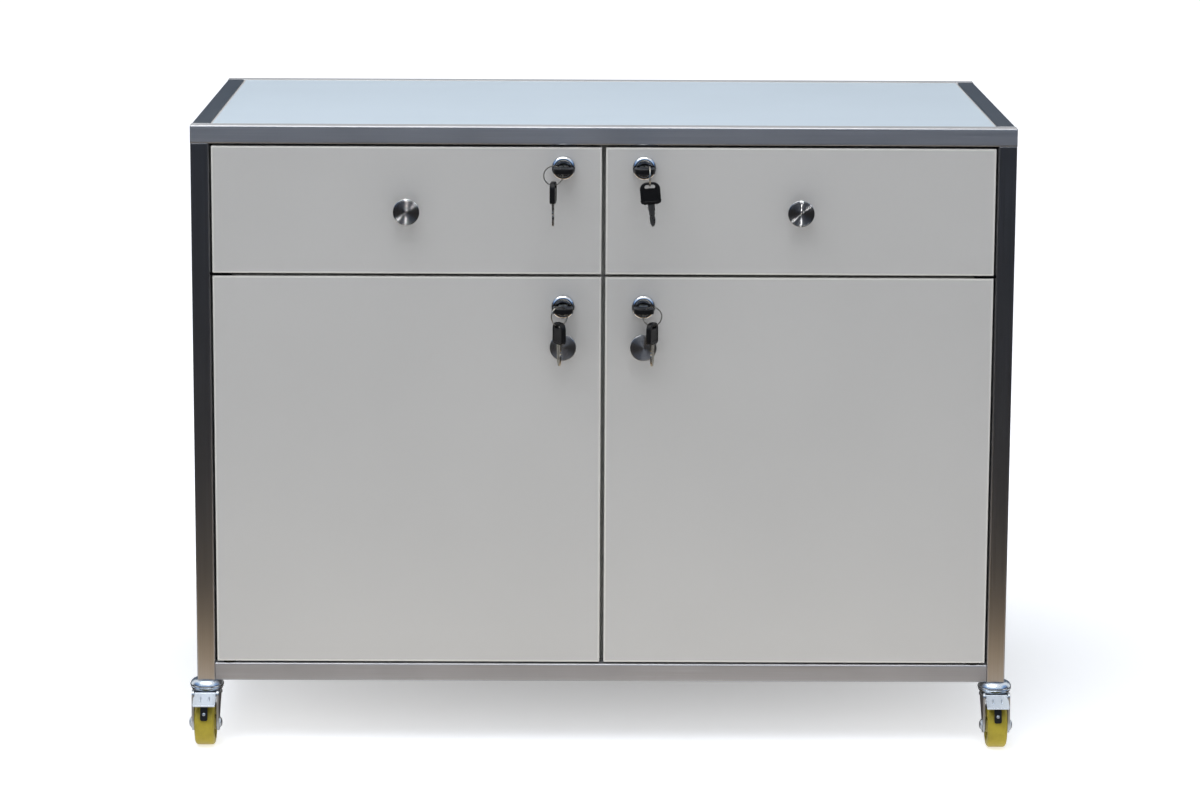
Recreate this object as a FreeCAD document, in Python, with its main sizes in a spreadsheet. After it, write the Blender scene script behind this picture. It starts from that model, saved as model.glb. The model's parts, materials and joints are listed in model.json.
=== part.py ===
import FreeCAD, Part
import math
import os
import re
import Sketcher
from FreeCAD import Placement, Rotation, Vector

# Mobile medical cabinet: a welded square tube frame on four castors, filled in with boards, with two locked
# drawers over two locked doors. Millimetres, +Z up, the fronts face -Y, the origin lies on the floor.

# Driving sizes
SIZES = {
    # Frame of square tube
    "width": 900,
    "depth": 500,
    "frame_height": 621,
    "castor_height": 70,
    "tube": 20,
    "tube_wall": 1.5,
    "tube_round": 2,
    # Boards
    "board": 18,
    "board_clearance": 0.5,
    "worktop_drop": 0.5,
    "tab_length": 30,
    "tab_depth": 16,
    "inner_setback": 26,
    "shelf_setback": 30,
    "shelf_clearance": 1,
    "shelf_height": 205,
    "pin_radius": 2.5,
    "pin_length": 16,
    "pin_inset": 60,
    "fit_clearance": 0.05,
    # Fronts and the gaps round them
    "gap_side": 2.7,
    "gap_top": 2.7,
    "gap_middle": 3.3,
    "gap_bottom": 2.3,
    "gap_centre": 4.5,
    "drawer_face": 139.3,
    # Drawer boxes
    "box_board": 12,
    "box_height": 85,
    "box_rise": 16,
    "box_depth": 410,
    "box_floor": 6,
    "box_floor_rise": 6,
    # Telescopic slides
    "slide_length": 400,
    "slide_depth": 12.7,
    "slide_height": 45,
    "slide_steel": 1.2,
    "slide_flange": 7.8,
    "slide_play": 0.4,
    "slide_step": 1,
    # Door pivots and catches
    "pivot_in": 13,
    "pivot_back": 7.5,
    "pivot_radius": 3,
    "pivot_length": 10,
    "pivot_spare": 2,
    "pivot_plate": 2,
    "pivot_plate_depth": 13,
    "pivot_plate_beyond": 8,
    "washer_radius": 7,
    "washer": 2,
    "catch_width": 18,
    "catch_depth": 22,
    "catch_height": 12,
    "catch_gap": 0.4,
    # Knobs
    "knob_radius": 14.5,
    "knob_proud": 17,
    "knob_neck": 6,
    "knob_neck_length": 8,
    "knob_rim": 3.5,
    "knob_bevel": 0.8,
    "stud_radius": 2,
    "stud_length": 10,
    "door_knob_drop": 75.7,
    # Locks
    "lock_in": 44,
    "drawer_lock_drop": 22,
    "door_lock_drop": 32.4,
    "lock_radius": 13,
    "lock_proud": 9,
    "lock_crown": 3,
    "lock_neck": 9.5,
    "lock_tail": 5.5,
    "nut_radius": 12.5,
    "nut_thick": 4,
    "barrel_radius": 8,
    "barrel_recess": 0.6,
    "keyway_width": 9,
    "keyway_height": 2.6,
    "cam_reach": 22,
    "cam_width": 12,
    "cam_thick": 2,
    "cam_play": 0.3,
    "strike_thick": 2,
    "strike_width": 30,
    "strike_foot": 15,
    "strike_gap": 2,
    "strike_over_nut": 2.7,
    # Keys and rings
    "head_width": 22,
    "head_length": 23,
    "head_thick": 5.6,
    "head_round": 4,
    "head_gap": 7,
    "slot_width": 11.4,
    "slot_height": 4.4,
    "slot_from_end": 4.5,
    "blade_width": 8,
    "blade_thick": 2,
    "blade_length": 25,
    "blade_tip": 3,
    "ring_radius": 10.3,
    "ring_wire": 0.6,
    "side_ring_out_drawer": 11,
    "side_ring_drop_drawer": 4.6,
    "side_ring_out_door": 9.2,
    "side_ring_drop_door": 5.4,
    "end_ring_shift_drawer": 4.8,
    "end_ring_reach_drawer": 5.65,
    "end_ring_drop_drawer": 3.6,
    "end_ring_shift_door": 2.4,
    "end_ring_reach_door": 1.9,
    "end_ring_drop_door": 4.7,
    "key_hang": 0.8,
    # Castors
    "trail": 22,
    "wheel_radius": 25,
    "wheel_width": 22,
    "wheel_crown": 2,
    "hub_radius": 17,
    "hub_width": 20,
    "boss_radius": 8,
    "boss_width": 24,
    "axle_radius": 4,
    "axle_nut_radius": 6.5,
    "axle_nut_length": 3.3,
    "axle_nut_dome": 1.6,
    "fork_inside": 25,
    "fork_steel": 2.5,
    "fork_eye": 9,
    "fork_eye_flat": 0.1,
    "fork_back": 9,
    "fork_ear": 4.5,
    "fork_brow": 49,
    "fork_bridge": 17.5,
    "crown_radius": 17,
    "crown_thick": 3.5,
    "head_radius": 18.8,
    "head_height": 12.7,
    "head_foot": 15.5,
    "head_neck": 14,
    "race_rise": 5.2,
    "race_band": 2,
    "race_play": 0.3,
    "kingpin_radius": 5,
    "rivet_radius": 8,
    "rivet_thick": 3,
    "stem_length": 25,
    "insert_height": 32,
    # Castor brakes
    "pedal_pivot_forward": 24,
    "pedal_pivot_height": 57,
    "pedal_knuckle": 2.5,
    "pedal_pin": 1.75,
    "pedal_width": 24,
    "pedal_flare": 25.5,
    "pedal_flare_forward": 31.5,
    "pedal_steel": 2,
    "pedal_lip_forward": 48,
    "pedal_lip_height": 48.5,
    "shoe_width": 8,
    "shoe_thick": 2.5,
    "shoe_bottom": 32.5,
    "shoe_angle": 20,
    "shoe_play": 0.4,
}

# Places that several pieces share, as formulas of the sizes
TOP = "(castor_height + frame_height)"
KEY_END = "(lock_proud + head_gap + head_length)"
END_WEB_MIDDLE = "((slot_from_end - slot_height / 2) / 2)"
RING_REACH = f"({KEY_END} - {END_WEB_MIDDLE} + end_ring_reach_drawer + ring_radius + ring_wire)"
PEDAL_REACH = "(pedal_lip_forward - tube / 2)"
REAR_REACH = "(head_radius - tube / 2)"
FRONT = f"((max({RING_REACH}; {PEDAL_REACH}) - {REAR_REACH}) / 2 - depth / 2)"
INSIDE = "(width / 2 - tube)"
DRAWER_TOP = f"({TOP} - tube - gap_top)"
DRAWER_BOTTOM = f"({DRAWER_TOP} - drawer_face)"
DOOR_TOP = f"({DRAWER_BOTTOM} - gap_middle)"
DOOR_BOTTOM = "(castor_height + tube + gap_bottom)"
FACE_WIDTH = f"({INSIDE} - gap_side - gap_centre / 2)"
BAY = f"({INSIDE} - board / 2)"
DECK_MIDDLE = f"({DOOR_TOP} + gap_middle / 2)"
DECK_UNDER = f"({DECK_MIDDLE} - board / 2)"
INNER_BACK = "(depth - tube)"
PIVOT_X = f"({INSIDE} - gap_side - pivot_in)"
DRAWER_LOCK_Z = f"({DRAWER_TOP} - drawer_lock_drop)"
DOOR_LOCK_Z = f"({DOOR_TOP} - door_lock_drop)"
CAM_Y = "(board + lock_tail + cam_play)"
CROWN_TOP = "(castor_height - head_height - race_play)"

SIDES = {"left": -1, "right": 1}
ALONG_X = Rotation(Vector(0, 0, 1), Vector(1, 0, 0))
TO_FRONT = Rotation(Vector(0, 0, 1), Vector(0, -1, 0))
UPRIGHT = Rotation()

doc = FreeCAD.newDocument("medical_cabinet")
sheet = doc.addObject("Spreadsheet::Sheet", "sizes")
for row, (size_name, size_value) in enumerate(SIZES.items(), start=1):
    sheet.set(f"A{row}", size_name)
    sheet.set(f"B{row}", str(size_value))
    sheet.setAlias(f"B{row}", size_name)
doc.recompute()
nodes = []


def bound(text):
    """Spell a formula of size names with the cells that hold them."""
    return re.sub(r"[a-z_]+", lambda word: f"sizes.{word[0]}" if word[0] in SIZES else word[0], text)


def place(thing, x="0", y="0", z="0", turn=UPRIGHT):
    """Put a thing at formulas of the sizes; y counts back from the front of the frame."""
    thing.Placement = Placement(Vector(), turn)
    for axis, text in (("x", x), ("y", f"{FRONT} + {y}"), ("z", z)):
        thing.setExpression(f"Placement.Base.{axis}", bound(text))
    return thing


def solid(kind, name, **formulas):
    """Add a primitive whose sizes are formulas."""
    thing = doc.addObject(f"Part::{kind}", name)
    for size_name, text in formulas.items():
        thing.setExpression(size_name, bound(text))
    return thing


def box(name, size, low):
    """Add a box of the given size with its low corner at the given place."""
    length, width, height = size
    return place(solid("Box", name, Length=length, Width=width, Height=height), *low)


def rod(name, radius, length, start, turn=UPRIGHT):
    """Add a round rod."""
    return place(solid("Cylinder", name, Radius=radius, Height=length), *start, turn)


def cut(name, base, *tools):
    """Cut tools out of a base, one after the other."""
    for number, tool in enumerate(tools, start=1):
        result = doc.addObject("Part::Cut", name if number == len(tools) else f"{name}_cut{number}")
        result.Base = base
        result.Tool = tool
        base = result
    return base


def fuse(name, *shapes):
    """Join shapes that are one piece of material."""
    result = doc.addObject("Part::MultiFuse", name)
    result.Shapes = list(shapes)
    result.Refine = True
    return result


def node(label, *pieces):
    """Keep one piece, or a group of separate pieces, as a node of that name."""
    thing = pieces[0]
    if len(pieces) > 1:
        thing = doc.addObject("Part::Compound", label)
        thing.Links = list(pieces)
    thing.Label = label
    nodes.append(thing)
    return thing


def outline(body, name, plane, corners):
    """Draw a closed outline on one of the body's own planes, each corner at two formulas."""
    sketch = body.newObject("Sketcher::SketchObject", name)
    flat = next(part for part in body.Origin.OriginFeatures if part.Role == plane)
    sketch.AttachmentSupport = (flat, [""])
    sketch.MapMode = "FlatFace"
    count = len(corners)
    rough = [Vector(math.cos(math.tau * i / count), math.sin(math.tau * i / count), 0) for i in range(count)]
    for i in range(count):
        sketch.addGeometry(Part.LineSegment(rough[i], rough[(i + 1) % count]), False)
    for i in range(count):
        sketch.addConstraint(Sketcher.Constraint("Coincident", i, 2, (i + 1) % count, 1))
    for i, corner in enumerate(corners):
        for kind, start, text in zip(("DistanceX", "DistanceY"), rough[i], corner):
            number = sketch.addConstraint(Sketcher.Constraint(kind, i, 1, start))
            sketch.setExpression(f"Constraints[{number}]", bound(text))
    return sketch


def ring_outline(body, name, plane, centre, radius):
    """Draw a circle on one of the body's own planes, at formulas."""
    sketch = body.newObject("Sketcher::SketchObject", name)
    flat = next(part for part in body.Origin.OriginFeatures if part.Role == plane)
    sketch.AttachmentSupport = (flat, [""])
    sketch.MapMode = "FlatFace"
    sketch.addGeometry(Part.Circle(Vector(1, 1, 0), Vector(0, 0, 1), 1), False)
    for constraint, text in (
        (Sketcher.Constraint("DistanceX", 0, 3, 1), centre[0]),
        (Sketcher.Constraint("DistanceY", 0, 3, 1), centre[1]),
        (Sketcher.Constraint("Radius", 0, 1), radius),
    ):
        number = sketch.addConstraint(constraint)
        sketch.setExpression(f"Constraints[{number}]", bound(text))
    return sketch


def pad(body, name, sketch, length):
    """Thicken an outline evenly to both sides of its plane."""
    feature = body.newObject("PartDesign::Pad", name)
    feature.Profile = sketch
    feature.SideType = "Symmetric"
    feature.setExpression("Length", bound(length))
    return feature


def pocket(body, name, sketch, length):
    """Cut an outline out of the body, evenly to both sides of its plane."""
    feature = body.newObject("PartDesign::Pocket", name)
    feature.Profile = sketch
    feature.SideType = "Symmetric"
    feature.setExpression("Length", bound(length))
    return feature


def turned(name, corners):
    """Turn a profile of (radius, height) corners round the body's Z axis."""
    body = doc.addObject("PartDesign::Body", name)
    sketch = outline(body, f"{name}_profile", "XZ_Plane", corners)
    feature = body.newObject("PartDesign::Revolution", f"{name}_turned")
    feature.Profile = sketch
    feature.ReferenceAxis = (sketch, ["V_Axis"])
    feature.Angle = 360
    return body


def value(text):
    """Read one size from the sheet."""
    return float(sheet.get(text))


def round_edges(body, name, radius, chosen):
    """Round the edges of the body's tip for which the test holds."""
    doc.recompute()
    tip = body.Tip
    names = [f"Edge{i}" for i, edge in enumerate(tip.Shape.Edges, start=1) if chosen(edge)]
    feature = body.newObject("PartDesign::Fillet", name)
    feature.Base = (tip, names)
    feature.setExpression("Radius", bound(radius))
    return feature


def span(side, near, length):
    """Give the low x of a stretch that starts a distance out from the middle on one side."""
    return near if side == "right" else f"-({near}) - ({length})"


def out(side, distance):
    """Give the x of a point a distance out from the middle on one side."""
    return f"{SIDES[side]} * ({distance})"


# Frame

def tube(name, axis, length, low):
    """Add a length of square tube with rounded corners, open at both ends."""
    outer_size = ["tube"] * 3
    bore_size = ["tube - 2 * tube_wall"] * 3
    bore_low = [f"{text} + tube_wall" for text in low]
    outer_size[axis] = length
    bore_size[axis] = length
    bore_low[axis] = low[axis]
    outer = box(f"{name}_outside", outer_size, low)
    outer.recompute()
    radius = value("tube_round")
    rounded = doc.addObject("Part::Fillet", f"{name}_rounded")
    rounded.Base = outer
    rounded.Edges = [
        (i, radius, radius)
        for i, edge in enumerate(outer.Shape.Edges, start=1)
        if abs(edge.Vertexes[1].Point[axis] - edge.Vertexes[0].Point[axis]) > 1
    ]
    return cut(name, rounded, box(f"{name}_bore", bore_size, bore_low))


def end_cap(name, side, low_y, low_z):
    """Add the plate that closes the end of a long top rail."""
    inner = "tube - 2 * tube_wall"
    low = (span(side, "width / 2 - tube_wall", "tube_wall"), f"{low_y} + tube_wall", f"{low_z} + tube_wall")
    return box(name, ("tube_wall", inner, inner), low)


ROWS = {"front": "0", "rear": "depth - tube"}
for row_name, row_y in ROWS.items():
    posts = []
    for side in SIDES:
        post_low = (span(side, INSIDE, "tube"), row_y, "castor_height")
        posts.append(tube(f"post_{row_name}_{side}", 2, "frame_height - tube", post_low))
    node(f"posts_{row_name}", *posts)
    top_rail = tube(f"top_tube_{row_name}", 0, "width", ("-width / 2", row_y, f"{TOP} - tube"))
    caps = [end_cap(f"top_cap_{row_name}_{side}", side, row_y, f"{TOP} - tube") for side in SIDES]
    node(f"top_rail_{row_name}", top_rail, *caps)
    node(
        f"bottom_rail_{row_name}",
        tube(f"bottom_tube_{row_name}", 0, f"2 * {INSIDE}", (f"-{INSIDE}", row_y, "castor_height")),
    )
for level, level_z in {"top": f"{TOP} - tube", "bottom": "castor_height"}.items():
    side_rails = [
        tube(f"{level}_side_{side}", 1, "depth - 2 * tube", (span(side, INSIDE, "tube"), "tube", level_z))
        for side in SIDES
    ]
    node(f"{level}_rails_side", *side_rails)


# Boards that fill the frame

INSET_WIDTH = f"(2 * ({INSIDE} - board_clearance))"
INSET_DEPTH = "(depth - 2 * tube - 2 * board_clearance)"
INSET_HEIGHT = "(frame_height - 2 * tube - 2 * board_clearance)"
INSET_LOW_X = f"(board_clearance - {INSIDE})"
INSET_LOW_Y = "(tube + board_clearance)"
INSET_LOW_Z = "(castor_height + tube + board_clearance)"
WORKTOP_UNDER = f"({TOP} - worktop_drop - board)"
FLOOR_TOP = "(castor_height + tube)"
SHELF_Z = f"({FLOOR_TOP} + shelf_height)"
PIN_Z = f"({SHELF_Z} - pin_radius)"
PIN_ROWS = {
    "front": "inner_setback + shelf_setback + pin_inset",
    "rear": f"{INNER_BACK} - pin_inset",
}

FLAT_BOARD = (INSET_WIDTH, INSET_DEPTH, "board")
node("worktop_panel", box("worktop", FLAT_BOARD, (INSET_LOW_X, INSET_LOW_Y, WORKTOP_UNDER)))
node("floor_panel", box("floor", FLAT_BOARD, (INSET_LOW_X, INSET_LOW_Y, f"{FLOOR_TOP} - board")))
node("back_panel", box("back", (INSET_WIDTH, "board", INSET_HEIGHT), (INSET_LOW_X, INNER_BACK, INSET_LOW_Z)))


def tabs(level, low_z, thick):
    """Add the steel tabs that carry a board inside one level of the frame."""
    made = []
    for side in SIDES:
        x = f"{out(side, 'width / 4')} - tab_length / 2"
        made.append(box(f"{level}_tab_front_{side}", ("tab_length", "tab_depth", thick), (x, "tube", low_z)))
        rear_y = f"{INNER_BACK} - tab_depth"
        made.append(box(f"{level}_tab_rear_{side}", ("tab_length", "tab_depth", thick), (x, rear_y, low_z)))
        side_low = (span(side, f"{INSIDE} - tab_depth", "tab_depth"), "(depth - tab_length) / 2", low_z)
        made.append(box(f"{level}_tab_side_{side}", ("tab_depth", "tab_length", thick), side_low))
    return made


node(
    "frame_tabs",
    *tabs("top", f"{TOP} - tube", "tube - board - worktop_drop"),
    *tabs("bottom", "castor_height", "tube - board"),
)


def pin_holes(name, side, near):
    """Drill the holes of one side's shelf pins into a board face at a distance from the middle."""
    radius = "pin_radius + fit_clearance"
    drilled = []
    for row_name, row_y in PIN_ROWS.items():
        start = (span(side, near, "pin_length / 2"), row_y, PIN_Z)
        drilled.append(rod(f"{name}_{row_name}", radius, "pin_length / 2", start, ALONG_X))
    return drilled


pins = []
shelves = []
decks = []
partition = box(
    "partition_board",
    ("board", f"{INNER_BACK} - inner_setback", f"{WORKTOP_UNDER} - {FLOOR_TOP}"),
    ("-board / 2", "inner_setback", FLOOR_TOP),
)
partition_holes = []
for side in SIDES:
    side_board = box(
        f"side_board_{side}",
        ("board", INSET_DEPTH, INSET_HEIGHT),
        (span(side, INSIDE, "board"), INSET_LOW_Y, INSET_LOW_Z),
    )
    side_holes = pin_holes(f"side_hole_{side}", side, INSIDE)
    node(f"side_panel_{side}", cut(f"side_panel_{side}", side_board, *side_holes))
    partition_holes += pin_holes(f"partition_hole_{side}", side, "(board - pin_length) / 2")
    deck_depth = f"{INNER_BACK} - inner_setback"
    deck_low = (span(side, "board / 2", BAY), "inner_setback", DECK_UNDER)
    decks.append(box(f"deck_{side}", (BAY, deck_depth, "board"), deck_low))
    shelf_width = f"{BAY} - 2 * shelf_clearance"
    shelf_x = span(side, "board / 2 + shelf_clearance", shelf_width)
    shelf_low = (shelf_x, "inner_setback + shelf_setback", SHELF_Z)
    shelf_depth = f"{INNER_BACK} - inner_setback - shelf_setback - shelf_clearance"
    shelves.append(box(f"shelf_{side}", (shelf_width, shelf_depth, "board"), shelf_low))
    for end, near in {"inner": "(board - pin_length) / 2", "outer": f"{INSIDE} - pin_length / 2"}.items():
        for row_name, row_y in PIN_ROWS.items():
            start = (span(side, near, "pin_length"), row_y, PIN_Z)
            pins.append(rod(f"pin_{side}_{end}_{row_name}", "pin_radius", "pin_length", start, ALONG_X))
node("centre_partition", cut("centre_partition", partition, *partition_holes))
node("drawer_shelves", *decks)
node("cupboard_shelves", *shelves)
node("shelf_pins", *pins)


# Drawers

DRAWER_BOX_LOW = f"({DRAWER_BOTTOM} + box_rise)"
SLIDE_MIDDLE_HEIGHT = "(slide_height - 2 * (slide_steel + slide_play))"
SLIDE_INNER_HEIGHT = f"({SLIDE_MIDDLE_HEIGHT} - 2 * (slide_steel + slide_play))"
SLIDE_Y = "inner_setback + slide_length / 2"
SLIDE_Z = f"({DRAWER_BOX_LOW} + box_height / 2)"
HALF_TURN = Rotation(Vector(0, 0, 1), 180)


def front_hole(name, side, distance, height, radius, depth):
    """Drill a hole into the face of a front."""
    return rod(name, radius, depth, (out(side, distance), depth, height), TO_FRONT)


def front_board(name, side, low_z, height, lock_z, knob_at, knob_z):
    """Add the board of a drawer or door, drilled for its lock and its knob."""
    low = (span(side, "gap_centre / 2", FACE_WIDTH), "0", low_z)
    board = box(f"{name}_board", (FACE_WIDTH, "board", height), low)
    lock_radius = "lock_neck + fit_clearance"
    stud_radius = "stud_radius + fit_clearance"
    lock_hole = front_hole(f"{name}_lock_hole", side, "lock_in", lock_z, lock_radius, "board")
    stud_hole = front_hole(f"{name}_stud_hole", side, knob_at, knob_z, stud_radius, "stud_length")
    return board, lock_hole, stud_hole


def knob(name, side, distance, height):
    """Turn a round knob with the stud that holds it in its front."""
    body = turned(name, (
        ("0", "-stud_length"),
        ("stud_radius", "-stud_length"),
        ("stud_radius", "0"),
        ("knob_neck", "0"),
        ("knob_neck", "knob_neck_length"),
        ("knob_radius", "knob_proud - knob_rim"),
        ("knob_radius", "knob_proud - knob_bevel"),
        ("knob_radius - knob_bevel", "knob_proud"),
        ("0", "knob_proud"),
    ))
    return place(body, out(side, distance), "0", height, TO_FRONT)


def channel(name, height, wall_x, opens, offset):
    """Add one pressed member of a slide: a channel that opens away from or towards its wall."""
    body = doc.addObject("PartDesign::Body", name)
    edge = f"{height} / 2"
    inner = f"{edge} - slide_steel"
    reach = "slide_steel + slide_flange"
    sketch = outline(body, f"{name}_profile", "XZ_Plane", (
        ("0", f"-({edge})"),
        (reach, f"-({edge})"),
        (reach, f"-({inner})"),
        ("slide_steel", f"-({inner})"),
        ("slide_steel", inner),
        (reach, inner),
        (reach, edge),
        ("0", edge),
    ))
    pad(body, f"{name}_length", sketch, "slide_length")
    return place(body, f"{wall_x} + {offset}", SLIDE_Y, SLIDE_Z, UPRIGHT if opens > 0 else HALF_TURN)


outer_members = []
for side, sign in SIDES.items():
    face_middle = f"gap_centre / 2 + {FACE_WIDTH} / 2"
    knob_z = f"{DRAWER_BOTTOM} + drawer_face / 2"
    name = f"drawer_front_{side}"
    pieces = front_board(name, side, DRAWER_BOTTOM, "drawer_face", DRAWER_LOCK_Z, face_middle, knob_z)
    node(name, cut(name, *pieces))
    node(f"drawer_knob_{side}", knob(f"drawer_knob_{side}", side, face_middle, knob_z))

    box_near = "board / 2 + slide_depth"
    box_width = f"({BAY} - 2 * slide_depth)"
    hollow = f"({box_width} - 2 * box_board)"
    box_boards = [
        box(
            f"box_side_{place_name}_{side}",
            ("box_board", "box_depth", "box_height"),
            (span(side, near, "box_board"), "board", DRAWER_BOX_LOW),
        )
        for place_name, near in (("inner", box_near), ("outer", f"{box_near} + {box_width} - box_board"))
    ]
    box_boards.append(box(
        f"box_back_{side}",
        (hollow, "box_board", "box_height"),
        (span(side, f"{box_near} + box_board", hollow), "board + box_depth - box_board", DRAWER_BOX_LOW),
    ))
    box_boards.append(box(
        f"box_floor_{side}",
        (hollow, "box_depth - box_board", "box_floor"),
        (span(side, f"{box_near} + box_board", hollow), "board", f"{DRAWER_BOX_LOW} + box_floor_rise"),
    ))
    node(f"drawer_box_{side}", *box_boards)

    middle_members = []
    inner_members = []
    for wall, (wall_x, opens) in {
        "inner": (out(side, "board / 2"), sign),
        "outer": (out(side, INSIDE), -sign),
    }.items():
        tag = f"{side}_{wall}"
        step = f"{opens} * (slide_steel + slide_step)"
        far = f"{opens} * slide_depth"
        outer_members.append(channel(f"slide_outer_{tag}", "slide_height", wall_x, opens, "0"))
        middle_members.append(channel(f"slide_middle_{tag}", SLIDE_MIDDLE_HEIGHT, wall_x, opens, step))
        inner_members.append(channel(f"slide_inner_{tag}", SLIDE_INNER_HEIGHT, wall_x, -opens, far))
    node(f"slide_middle_{side}", *middle_members)
    node(f"slide_inner_{side}", *inner_members)
node("slide_outer_members", *outer_members)


# Doors

PIVOT_PLATE_LOW = f"({DECK_MIDDLE} - pivot_plate / 2)"
PIVOT_HOLE_DEPTH = "(pivot_length + pivot_spare)"
DOOR_HEIGHT = f"({DOOR_TOP} - {DOOR_BOTTOM})"

pivots = []
catches = []
for side in SIDES:
    name = f"door_{side}"
    knob_z = f"{DOOR_TOP} - door_knob_drop"
    pieces = front_board(name, side, DOOR_BOTTOM, DOOR_HEIGHT, DOOR_LOCK_Z, "lock_in", knob_z)
    hinge_x = out(side, PIVOT_X)

    def on_hinge(pin_name, radius, length, low_z):
        return rod(pin_name, radius, length, (hinge_x, "pivot_back", low_z))

    hole_radius = "pivot_radius + fit_clearance"
    top_low = f"{DOOR_TOP} - {PIVOT_HOLE_DEPTH}"
    top_hole = on_hinge(f"{name}_top_hole", hole_radius, PIVOT_HOLE_DEPTH, top_low)
    bottom_hole = on_hinge(f"{name}_bottom_hole", hole_radius, PIVOT_HOLE_DEPTH, DOOR_BOTTOM)
    node(name, cut(name, *pieces, top_hole, bottom_hole))
    node(f"door_knob_{side}", knob(f"door_knob_{side}", side, "lock_in", knob_z))

    plate_length = "(gap_side + pivot_in + pivot_plate_beyond)"
    plate_x = span(side, f"{INSIDE} - {plate_length}", plate_length)
    plate_low = (plate_x, "pivot_back - pivot_plate_depth / 2", PIVOT_PLATE_LOW)
    plate = box(f"pivot_plate_{side}", (plate_length, "pivot_plate_depth", "pivot_plate"), plate_low)
    pin_low = f"{DOOR_TOP} - pivot_length"
    top_pin = on_hinge(f"top_pin_{side}", "pivot_radius", f"{DECK_MIDDLE} - ({pin_low})", pin_low)
    pivots.append(fuse(f"top_pivot_{side}", plate, top_pin))
    washer = on_hinge(f"washer_{side}", "washer_radius", "washer", FLOOR_TOP)
    bottom_pin = on_hinge(f"bottom_pin_{side}", "pivot_radius", "gap_bottom + pivot_length", FLOOR_TOP)
    pivots.append(fuse(f"bottom_pivot_{side}", washer, bottom_pin))
    catch_low = (
        span(side, "board / 2 + board_clearance", "catch_width"),
        "board + catch_gap",
        f"{DECK_UNDER} - catch_height",
    )
    catches.append(box(f"catch_{side}", ("catch_width", "catch_depth", "catch_height"), catch_low))
node("door_pivots", *pivots)
node("door_catches", *catches)


# Locks and keys

LOCK_ROWS = {
    "drawer": (DRAWER_LOCK_Z, WORKTOP_UNDER),
    "door": (DOOR_LOCK_Z, DECK_UNDER),
}
ABOUT_Y = Rotation(Vector(0, 0, 1), Vector(0, 1, 0))
# How far each hanging spare key is turned from facing the front, and how far it leans to the side, in degrees
KEY_TURNS = {"drawer_left": (84, 0), "drawer_right": (0, -5.2), "door_left": (-62, 0), "door_right": (66, 0)}
# The rings that hang over the end of the key instead of over its side, and how far each is turned outwards
END_RING_TURNS = {"drawer_right": 0, "door_left": 58}


def lock_body(name, side, lock_z):
    """Turn the lock's round case, and add the nut that draws it up behind the front."""
    bore = "barrel_radius + fit_clearance"
    case = turned(f"{name}_case", (
        (bore, "-(board + lock_tail)"),
        ("lock_neck", "-(board + lock_tail)"),
        ("lock_neck", "0"),
        ("lock_radius", "0"),
        ("lock_radius", "lock_proud - lock_crown"),
        ("lock_radius - lock_crown / 3", "lock_proud - lock_crown / 3"),
        ("lock_radius - lock_crown", "lock_proud"),
        (bore, "lock_proud"),
    ))
    place(case, out(side, "lock_in"), "0", lock_z, TO_FRONT)
    hexagon = solid("Prism", f"{name}_hexagon", Circumradius="nut_radius", Height="nut_thick")
    place(hexagon, out(side, "lock_in"), "board + nut_thick", lock_z, TO_FRONT)
    nut_start = (out(side, "lock_in"), "board + nut_thick", lock_z)
    thread = rod(f"{name}_thread", "lock_neck", "nut_thick", nut_start, TO_FRONT)
    return case, cut(f"{name}_nut", hexagon, thread)


def barrel(name, side, lock_z):
    """Add the round barrel with its keyway, and the cam on its tail."""
    front_y = "barrel_recess - lock_proud"
    length = f"{CAM_Y} + cam_thick - ({front_y})"
    tail = (out(side, "lock_in"), f"{CAM_Y} + cam_thick", lock_z)
    core = rod(f"{name}_core", "barrel_radius", length, tail, TO_FRONT)
    cam_low = (span(side, "lock_in", "cam_reach"), CAM_Y, f"{lock_z} - cam_width / 2")
    cam = box(f"{name}_cam", ("cam_reach", "cam_thick", "cam_width"), cam_low)
    keyway = box(
        f"{name}_keyway",
        ("keyway_width", "blade_length", "keyway_height"),
        (f"{out(side, 'lock_in')} - keyway_width / 2", front_y, f"{lock_z} - keyway_height / 2"),
    )
    return cut(name, fuse(f"{name}_turned", core, cam), keyway)


def key(name):
    """Add a key, its head's end at the origin and its blade down, facing the front."""
    body = doc.addObject("PartDesign::Body", name)
    half = "head_width / 2"
    head = outline(body, f"{name}_head_outline", "XZ_Plane", (
        (f"-{half}", "-head_length"),
        (half, "-head_length"),
        (half, "0"),
        (f"-{half}", "0"),
    ))
    pad(body, f"{name}_head", head, "head_thick")
    round_edges(body, f"{name}_corners", "head_round", lambda e: abs(e.tangentAt(e.FirstParameter).y) > 0.9)
    slot_low = "-slot_from_end - slot_height / 2"
    slot_high = "-slot_from_end + slot_height / 2"
    slot = outline(body, f"{name}_slot_outline", "XZ_Plane", (
        ("-slot_width / 2", slot_low),
        ("slot_width / 2", slot_low),
        ("slot_width / 2", slot_high),
        ("-slot_width / 2", slot_high),
    ))
    pocket(body, f"{name}_slot", slot, "2 * head_thick")
    tip = "-head_length - blade_length"
    shoulder = f"{tip} + blade_tip"
    blade = outline(body, f"{name}_blade_outline", "XZ_Plane", (
        ("-blade_width / 2", "-head_length + blade_tip"),
        ("-blade_width / 2", shoulder),
        ("blade_tip - blade_width / 2", tip),
        ("blade_width / 2 - blade_tip", tip),
        ("blade_width / 2", shoulder),
        ("blade_width / 2", "-head_length + blade_tip"),
    ))
    pad(body, f"{name}_blade", blade, "blade_thick")
    return body


def split_ring(name):
    """Turn the ring of flat wire that joins two keys."""
    inside = "ring_radius - ring_wire"
    outside = "ring_radius + ring_wire"
    return turned(name, (
        (inside, "-ring_wire"),
        (outside, "-ring_wire"),
        (outside, "ring_wire"),
        (inside, "ring_wire"),
    ))


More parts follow.
